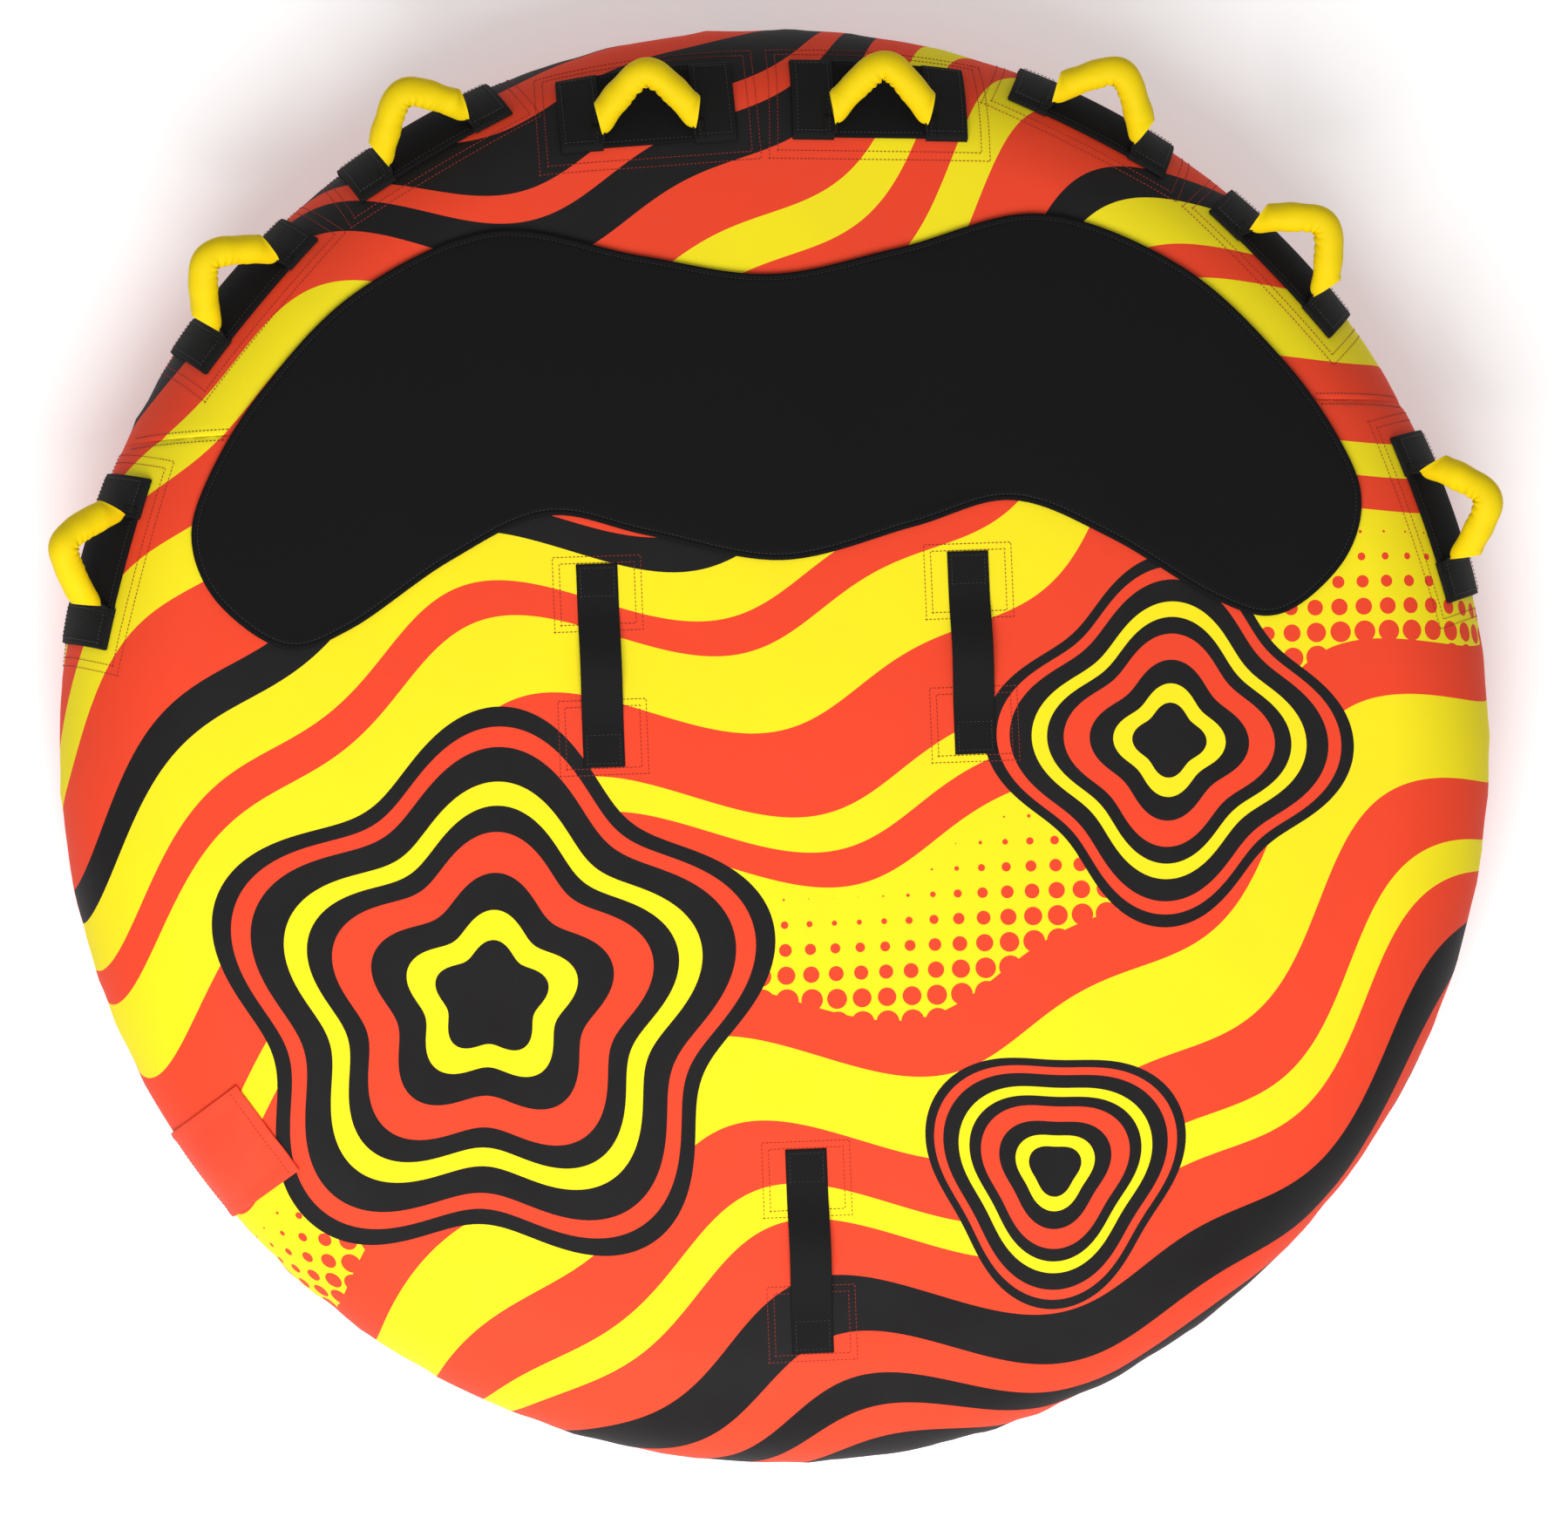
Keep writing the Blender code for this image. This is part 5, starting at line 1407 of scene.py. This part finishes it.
ZIP_HALF_ANGLE = math.radians(28.0)
ZIP_BELOW = math.radians(33.75)
ZIP_TAPE_WIDTH = 0.032
ZIP_TAPE_THICKNESS = 0.0012
ZIP_COIL_HEIGHT = 0.0022
ZIP_CORD = 0.0007
ZIP_CORD_RAMP = (0.0048, 0.0036)
ZIP_END_STOP = 0.034
TOOTH_STEP = 0.0026
TOOTH_OFFSET = 0.0014
TOOTH_LIFT = 0.0008
TOOTH_SIZE = (0.0018, 0.0034, 0.0024)
SLIDER_HALF_LENGTH = 0.0100
SLIDER_HALF_WIDTH = 0.0065
SLIDER_HEIGHT = 0.0042
BRIDGE_MIDDLE = (-0.0005, 0.0038)
BRIDGE_REACH = (0.0040, 0.0041)
BRIDGE_BAR = (0.0011, 0.0022)
TOW_BELOW = math.radians(26.0)
TOW_WIDTH = 0.050
TOW_THICKNESS = 0.0025
TOW_LENGTH = 0.100
RING_BAR = 0.008
RING_HALF_WIDTH = 0.0305
RING_DROP = 0.044
RING_CORNER = 0.006


class TUBE_OT_zip(bpy.types.Operator):
    """Build the zip round the rear: its tape, its two rows of teeth and its slider"""

    bl_idname = "towtube.zip"
    bl_label = "Zip"

    def execute(self, context):
        form, surface, finish = basics(context)
        rows = np.linspace(math.pi - ZIP_HALF_ANGLE, math.pi + ZIP_HALF_ANGLE, 160)
        columns = spaced(-ZIP_TAPE_WIDTH / 2, ZIP_TAPE_WIDTH / 2, 0.003, 0.002)

        def place(turn, side, lift):
            return surface.base(turn, ZIP_BELOW + side / surface.seam, lift)

        inward = np.minimum(columns - columns[0], columns[-1] - columns)
        high = form.lay_gap + ZIP_TAPE_THICKNESS * rolled_edge(inward, WEBBING_EDGE)
        high = high + ZIP_CORD * smooth_step(*ZIP_CORD_RAMP, np.abs(columns))
        tape = laid_piece("zip_tape", place, rows, columns, form.lay_gap, high, finish["zip"])
        reach = float(surface.under(ZIP_BELOW)[0])
        finished(tape, "tube", ["zip_chain"])
        turns = np.linspace(rows[0] + 0.01, rows[-1] - 0.01, 400)
        top = form.lay_gap + ZIP_TAPE_THICKNESS + TOOTH_LIFT
        half_step = 0.5 * TOOTH_STEP / reach
        teeth = [surface.base(turns + shift, ZIP_BELOW + side * TOOTH_OFFSET / surface.seam, top)
                 for side, shift in ((-1, 0.0), (1, half_step))]
        row = beads("zip_teeth", teeth, finish["teeth"], TOOTH_STEP, *TOOTH_SIZE)
        finished(row, "tube", [])
        self.slider(form, surface, finish["teeth"])
        return {"FINISHED"}

    def slider(self, form, surface, material):
        """Slider: a waisted plate and its bridge."""
        lift = form.lay_gap + ZIP_TAPE_THICKNESS + ZIP_COIL_HEIGHT + PIECE_LIFT
        reach, height = (float(value) for value in surface.under(ZIP_BELOW, lift))
        coil = float(surface.under(ZIP_BELOW, lift - PIECE_LIFT)[0])
        turn = math.pi + ZIP_HALF_ANGLE - ZIP_END_STOP / coil
        outward = np.array((math.sin(turn), math.cos(turn), 0.0))
        along = np.array((math.cos(turn), -math.sin(turn), 0.0))
        normal = outward * math.cos(ZIP_BELOW) + np.array((0, 0, -math.sin(ZIP_BELOW)))
        down = -outward * math.sin(ZIP_BELOW) + np.array((0, 0, -math.cos(ZIP_BELOW)))
        origin = outward * reach + np.array((0.0, 0.0, height))
        shares = np.linspace(-1.0, 1.0, 17)
        waist = 0.80 + 0.20 * np.abs(shares) ** 1.5
        from_end = (1 - np.abs(shares)) * SLIDER_HALF_LENGTH
        width = SLIDER_HALF_WIDTH * waist * rolled_edge(from_end, 0.003, 0.6)
        section = strip_section(2.0, 0.0)
        shape = strip_section(2 * SLIDER_HALF_WIDTH, SLIDER_HEIGHT)
        plate = (origin + along * (shares * SLIDER_HALF_LENGTH)[:, None, None]
                 + down * (section[None, :, :1] * width[:, None, None])
                 + normal * (shape[None, :, 1:] + SLIDER_HEIGHT / 2))
        flat = unrolled(section[:, 0] * SLIDER_HALF_WIDTH, shares * SLIDER_HALF_LENGTH)
        pieces = [swept_piece("slider_plate", plate, flat, material)]
        bow = np.linspace(0.0, math.pi, 15)
        ring = round_turns(10)
        centre = stacked(BRIDGE_MIDDLE[0] + BRIDGE_REACH[0] * np.cos(bow), 0.0,
                         BRIDGE_MIDDLE[1] + BRIDGE_REACH[1] * np.sin(bow))
        outer = stacked(np.cos(bow), 0.0, np.sin(bow))
        side = np.array((0.0, 1.0, 0.0))
        local = (centre[:, None, :] + outer[:, None, :] * (BRIDGE_BAR[0] * np.cos(ring))[None, :, None]
                 + side * (BRIDGE_BAR[1] * np.sin(ring))[None, :, None])
        bridge = origin + local[..., :1] * along + local[..., 1:2] * down + local[..., 2:] * normal
        flat = unrolled(ring * 0.001, bow * 0.004)
        pieces.append(swept_piece("slider_bridge", bridge, flat, material))
        slider = joined("zip_slider_moulding", pieces)
        finished(slider, "zip_slider", ["zip_slider"])


class TUBE_OT_tow(bpy.types.Operator):
    """Build the doubled tow strap under the front of the rim, and the steel ring in its loop"""

    bl_idname = "towtube.tow"
    bl_label = "Tow Strap"

    def execute(self, context):
        form, surface, finish = basics(context)
        loop = RING_BAR / 2 + 0.0006 + TOW_THICKNESS
        reach, height = (float(value) for value in surface.under(TOW_BELOW, form.lay_gap + loop))
        pivot = np.array((0.0, reach, height))
        normal = np.array((0.0, math.cos(TOW_BELOW), -math.sin(TOW_BELOW)))
        upward = np.array((0.0, math.sin(TOW_BELOW), math.cos(TOW_BELOW)))
        path = []
        tail = TOW_BELOW + TOW_LENGTH / surface.seam
        for angle in np.linspace(tail, TOW_BELOW + 0.02, 26):
            path.append(surface.base(0.0, angle, form.lay_gap + TOW_THICKNESS / 2))
        bow = loop - TOW_THICKNESS / 2
        for turn in np.linspace(-math.pi / 2, math.radians(150), 28):
            path.append(pivot + upward * bow * math.cos(turn) + normal * bow * math.sin(turn))
        meet = form.lay_gap + 1.5 * TOW_THICKNESS + 0.0001
        for angle in np.linspace(TOW_BELOW + 0.10, tail, 24):
            path.append(surface.base(0.0, angle, meet))
        path = np.array(path).reshape(-1, 3)
        across = np.tile((1.0, 0.0, 0.0), (len(path), 1))
        normals = unit(np.cross(across, np.gradient(path, axis=0)))
        strap = strip_piece("tow_webbing", path, across, normals, TOW_WIDTH, TOW_THICKNESS - 0.0002,
                            finish["webbing"])
        finished(strap, "tube", ["tow_strap"])
        self.ring(pivot, finish["steel"])
        return {"FINISHED"}

    def ring(self, pivot, material):
        """D ring of round bar."""
        straight = RING_HALF_WIDTH - RING_CORNER
        bow_centre = RING_HALF_WIDTH - RING_DROP
        quarter = np.linspace(0.0, math.pi / 2, 7)[:-1]
        corner = [(straight + RING_CORNER * math.cos(turn), RING_CORNER * (math.sin(turn) - 1.0))
                  for turn in quarter]
        path = [(x, 0.0) for x in np.linspace(-straight, straight, 12)]
        path += corner[::-1]
        path += [(RING_HALF_WIDTH * math.cos(turn), bow_centre + RING_HALF_WIDTH * math.sin(turn))
                 for turn in np.linspace(0.0, -math.pi, 36)]
        path += [(-x, z) for x, z in corner]
        path = np.array(path)
        tangents = unit(np.roll(path, -1, axis=0) - np.roll(path, 1, axis=0))
        normals = np.stack((-tangents[:, 1], tangents[:, 0]), axis=1)
        turns = round_turns(16)
        spot = path[:, None, :] + normals[:, None, :] * (RING_BAR / 2 * np.cos(turns))[None, :, None]
        rings = stacked(spot[..., 0], (RING_BAR / 2 * np.sin(turns))[None, :], spot[..., 1]) + pivot
        flat = unrolled(turns * RING_BAR / 2, run_along(path))
        ring = swept_piece("tow_ring_bar", rings, flat, material, closed=True)
        finished(ring, "tow_ring", ["tow_ring"])


# Stitching


SEAM_ROW = 0.0065
REINFORCED_MARGINS = (0.016, 0.026)
REINFORCED_BOXES = ((0.045, 0.037), (0.053, 0.045))
BAND_BOX = (0.019, 0.044)
STRAP_BOX = (0.020, 0.017)
STRAP_BOX_INSET = 0.022
REINFORCED_INSET = 0.036
SEAM_END = 0.012
SEAM_CLEAR = 0.004
ROW_POINTS = 60
FLAP_ROWS = (0.0125 - FLAP_LENGTH, -0.005, -0.011)
FLAP_ROW_END = 0.006
THREAD_LIFTS = {"seam": 0.0002, "reinforced": 0.0003, "body_pad": -0.0013, "pad": -0.0006, "band": 0.0004,
                "strap": 0.0005}


def rectangle(half_across, half_down, step=0.006):
    """Closed row of across and down places round a rectangle."""
    across = np.arange(-half_across, half_across, step)
    down = np.arange(-half_down, half_down, step)
    top = np.stack((across, np.full(len(across), -half_down)), axis=1)
    right = np.stack((np.full(len(down), half_across), down), axis=1)
    row = np.concatenate((top, right, -top, -right))
    return np.concatenate((row, row[:1]))


def strap_ends(inset):
    """Middle of a box at each end of each deck strap, inset from the end."""
    return [(across, forward + end * (STRAP_LENGTH / 2 - inset))
            for across, forward in STRAP_PLACES.values() for end in (-1, 1)]


class TUBE_OT_stitching(bpy.types.Operator):
    """Sew every seam: deck seam, reinforcements, pads, bands, straps and flap"""

    bl_idname = "towtube.stitching"
    bl_label = "Stitching"

    def execute(self, context):
        scene = context.scene
        form, surface, finish = basics(context)
        for name, rows, thread, body, slot in (
                ("deck_seam", self.deck_seam(form, surface), "dark_thread", "tube", "cover_nylon"),
                ("reinforcement", self.reinforcements(scene, surface), "red_thread", "tube", "cover_nylon"),
                ("pad", self.pads(scene, surface), "dark_thread", "tube", "pad_neoprene"),
                ("webbing", self.webbing(scene, surface), "dark_thread", "tube", "webbing"),
                ("flap", self.flap(form, surface), "red_thread", "valve_flap", "cover_nylon")):
            finished(beads(f"{name}_stitches", rows, finish[thread]), body, [])
        return {"FINISHED"}

    def deck_seam(self, form, surface):
        """Two rows along the deck seam, from the rim to the body pad on each side."""
        outline = body_pad_outline(surface.rim)
        rows = []
        for shift in (-SEAM_ROW, SEAM_ROW):
            forward = form.deck_seam + shift
            crossing = np.abs(outline[np.abs(outline[:, 1] - forward) < SEAM_END][:, 0]).max()
            limit = math.sqrt((surface.rim - SEAM_END) ** 2 - forward ** 2)
            for side in (-1, 1):
                across = side * np.linspace(crossing + SEAM_CLEAR, limit, ROW_POINTS)
                rows.append(surface.deck(across, forward, THREAD_LIFTS["seam"]))
        return rows

    def reinforcements(self, scene, surface):
        """Double rows round the handles and the ends of the deck straps."""
        sizes = scene.tube_handles
        rows = []
        for spot in handle_places(scene):
            for margin in REINFORCED_MARGINS:
                row = rectangle(sizes.pad_length / 2 + margin, sizes.pad_width / 2 + margin)
                rows.append(spot.place(row[:, 1], row[:, 0], THREAD_LIFTS["reinforced"]))
        for end in strap_ends(REINFORCED_INSET):
            for box in REINFORCED_BOXES:
                row = rectangle(*box) + end
                rows.append(surface.deck(row[:, 0], row[:, 1], THREAD_LIFTS["reinforced"]))
        return rows

    def pads(self, scene, surface):
        """Rows inside the edge of the body pad and of each knuckle pad."""
        lay = scene.tube_form.lay_gap
        outline = body_pad_outline(surface.rim)
        tangent = unit(np.roll(outline, -1, axis=0) - np.roll(outline, 1, axis=0))
        inset = outline + np.stack((tangent[:, 1], -tangent[:, 0]), axis=1) * BODY_PAD_EDGE["row"]
        inset = np.concatenate((inset, inset[:1]))
        top = lay + BODY_PAD_THICKNESS
        rows = [surface.deck(inset[:, 0], inset[:, 1], top + THREAD_LIFTS["body_pad"])]
        sizes = scene.tube_handles
        for spot in handle_places(scene):
            row = rectangle(sizes.pad_length / 2 - PAD_EDGE["row"], sizes.pad_width / 2 - PAD_EDGE["row"])
            row = row[np.abs(row[:, 0]) < spot.inner]
            for side in (-1, 1):
                part = row[row[:, 1] * side > 0]
                part = part[np.argsort(part[:, 0])]
                rows.append(spot.place(part[:, 1], part[:, 0], spot.pad_top + THREAD_LIFTS["pad"]))
        return rows

    def webbing(self, scene, surface):
        """Boxes on the bands and on the sewn ends of the straps."""
        rows = []
        for spot in handle_places(scene):
            middle = (spot.inner + spot.outer) / 2
            row = rectangle(*BAND_BOX)
            for side in (-1, 1):
                rows.append(spot.place(row[:, 1], side * middle + row[:, 0],
                                       spot.band_top + THREAD_LIFTS["band"]))
        for end in strap_ends(STRAP_BOX_INSET):
            row = rectangle(*STRAP_BOX) + end
            rows.append(surface.deck(row[:, 0], row[:, 1], STRAP_THICKNESS + THREAD_LIFTS["strap"]))
        return rows

    def flap(self, form, surface):
        """Row along the flap's hem and two rows along its hinge."""
        hinge = surface.arc_at_slope(FLAP_HINGE_SLOPE)
        across = np.linspace(FLAP_ROW_END - FLAP_WIDTH / 2, FLAP_WIDTH / 2 - FLAP_ROW_END, ROW_POINTS)
        rows = []
        for down in FLAP_ROWS:
            low, hem = flap_lift(form, np.array([down + FLAP_LENGTH / 2]), across)
            rows.append(surface.patch(VALVE_HEADING, hinge + down, across, (low + FLAP_CLOTH + hem)[0]))
        return rows


# The stage


FLOOR_REACH = 30.0
FLOOR_LEVEL = -0.001
FLOOR_PAPER = (0.97, 0.97, 0.97, 1.0)
FLOOR_GLOW = 0.28
LAMP_SIZE = 3.0
LAMP_PLACE = (-0.6, -2.3, 3.3)
LAMP_AIM = (0.0, -0.4, 0.2)
PICTURE_SIZE = (1799, 1740)
PICTURE_MIDDLE = (893.0, 853.0)
RIM_PIXELS = 822.0
VIEW_DIRECTION = (-0.085, -0.045, 1.0)
WHITE = (1.0, 1.0, 1.0, 1.0)


def seen_rays(tree):
    """1 for rays that show a background: the camera's, and those off metal or through glass."""
    path = tree.nodes.new("ShaderNodeLightPath")
    mirrored = calc(tree, "MAXIMUM", path.outputs["Is Glossy Ray"], path.outputs["Is Transmission Ray"])
    return calc(tree, "MAXIMUM", path.outputs["Is Camera Ray"], mirrored)


class TUBE_OT_stage(bpy.types.Operator):
    """Set the pale floor, the soft light and the camera"""

    bl_idname = "towtube.stage"
    bl_label = "Stage"

    def execute(self, context):
        scene = context.scene
        look = scene.tube_studio
        self.floor(scene)
        self.light(scene, look)
        self.world(scene, look)
        self.camera(scene, look)
        scene.view_settings.view_transform = "Standard"
        return {"FINISHED"}

    def floor(self, scene):
        """Wide pale floor."""
        data = bpy.data.meshes.new("studio_floor")
        corners = [(x * FLOOR_REACH, y * FLOOR_REACH, FLOOR_LEVEL)
                   for x, y in ((-1, -1), (1, -1), (1, 1), (-1, 1))]
        data.from_pydata(corners, [], [(0, 1, 2, 3)])
        made = bpy.data.materials.new("floor_paper")
        made.use_nodes = True
        tree = made.node_tree
        shader = tree.nodes["Principled BSDF"]
        glow = calc(tree, "MULTIPLY", seen_rays(tree), FLOOR_GLOW)
        for label, value in (("Base Color", FLOOR_PAPER), ("Roughness", 0.9), ("Specular IOR Level", 0.0),
                             ("Emission Color", WHITE), ("Emission Strength", glow)):
            plug(tree, value, shader.inputs[label])
        data.materials.append(made)
        floor = bpy.data.objects.new("studio_floor", data)
        scene.collection.objects.link(floor)

    def light(self, scene, look):
        """One broad light overhead, from the rear of the tube."""
        data = bpy.data.lights.new("overhead", "AREA")
        data.shape = "DISK"
        data.size = LAMP_SIZE
        data.energy = look.key_power
        lamp = bpy.data.objects.new("overhead", data)
        lamp.location = LAMP_PLACE
        aim = Vector(LAMP_AIM) - lamp.location
        lamp.rotation_euler = aim.to_track_quat("-Z", "Y").to_euler()
        scene.collection.objects.link(lamp)

    def world(self, scene, look):
        """Even light from all round, white to the camera."""
        made = bpy.data.worlds.new("studio_world")
        made.use_nodes = True
        tree = made.node_tree
        back = tree.nodes["Background"]
        plug(tree, calc(tree, "MAXIMUM", seen_rays(tree), look.fill), back.inputs["Strength"])
        plug(tree, WHITE, back.inputs["Color"])
        scene.world = made

    def camera(self, scene, look):
        """Camera over the deck, a little to its left and rear, as the picture was taken."""
        form = scene.tube_form
        width, height = PICTURE_SIZE
        target = Vector((0.0, 0.0, form.seam_height))
        direction = Vector(VIEW_DIRECTION).normalized()
        data = bpy.data.cameras.new("picture_camera")
        data.sensor_fit = "HORIZONTAL"
        data.lens = RIM_PIXELS * look.distance / form.rim_radius * data.sensor_width / width
        data.shift_x = (width / 2 - PICTURE_MIDDLE[0]) / width
        data.shift_y = -(height / 2 - PICTURE_MIDDLE[1]) / width
        up = Vector((math.sin(look.roll), math.cos(look.roll), 0.0))
        across = up.cross(direction).normalized()
        camera = bpy.data.objects.new("picture_camera", data)
        camera.matrix_world = axes_at(target + direction * look.distance, across, direction.cross(across),
                                      direction)
        scene.collection.objects.link(camera)
        scene.camera = camera


STEPS = (TUBE_OT_cover, TUBE_OT_body_pad, TUBE_OT_handles, TUBE_OT_deck_straps, TUBE_OT_valve,
         TUBE_OT_zip, TUBE_OT_tow, TUBE_OT_stitching, TUBE_OT_stage)


class TUBE_PT_panel(bpy.types.Panel):
    """Sidebar panel with every step of the tube"""

    bl_idname = "TUBE_PT_panel"
    bl_label = "Towable Tube"
    bl_space_type = "VIEW_3D"
    bl_region_type = "UI"
    bl_category = "Tube"

    def draw(self, context):
        for step in STEPS:
            self.layout.operator(step.bl_idname)
        for group in (context.scene.tube_form, context.scene.tube_handles, context.scene.tube_print,
                      context.scene.tube_studio):
            box = self.layout.box()
            for label in group.__annotations__:
                box.prop(group, label)


GROUPS = {"tube_form": TubeForm, "tube_handles": HandleForm, "tube_print": PrintLook,
          "tube_studio": StudioLook}


def register():
    """Add the classes and the scene's settings."""
    for made in (*GROUPS.values(), *STEPS, TUBE_PT_panel):
        bpy.utils.register_class(made)
    for label, made in GROUPS.items():
        setattr(bpy.types.Scene, label, bpy.props.PointerProperty(type=made))


def unregister():
    """Take the classes and settings away."""
    for label in GROUPS:
        delattr(bpy.types.Scene, label)
    for made in reversed((*GROUPS.values(), *STEPS, TUBE_PT_panel)):
        bpy.utils.unregister_class(made)


def read_frame(form):
    """Take the tube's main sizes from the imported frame."""
    _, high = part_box("cover_base")
    form.rim_radius = high.y
    form.seam_height = high.z + SOLID_GAP
    form.tube_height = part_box("cover_deck_rear")[1].z
    form.deck_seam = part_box("cover_deck_front")[0].y - SOLID_GAP


def main():
    """Register the add-on and build the tube step by step."""
    register()
    read_frame(bpy.context.scene.tube_form)
    for step in STEPS:
        family, label = step.bl_idname.split(".")
        result = getattr(getattr(bpy.ops, family), label)()
        if result != {"FINISHED"}:
            raise RuntimeError(f"{step.bl_idname} did not finish")


if __name__ == "__main__":
    main()
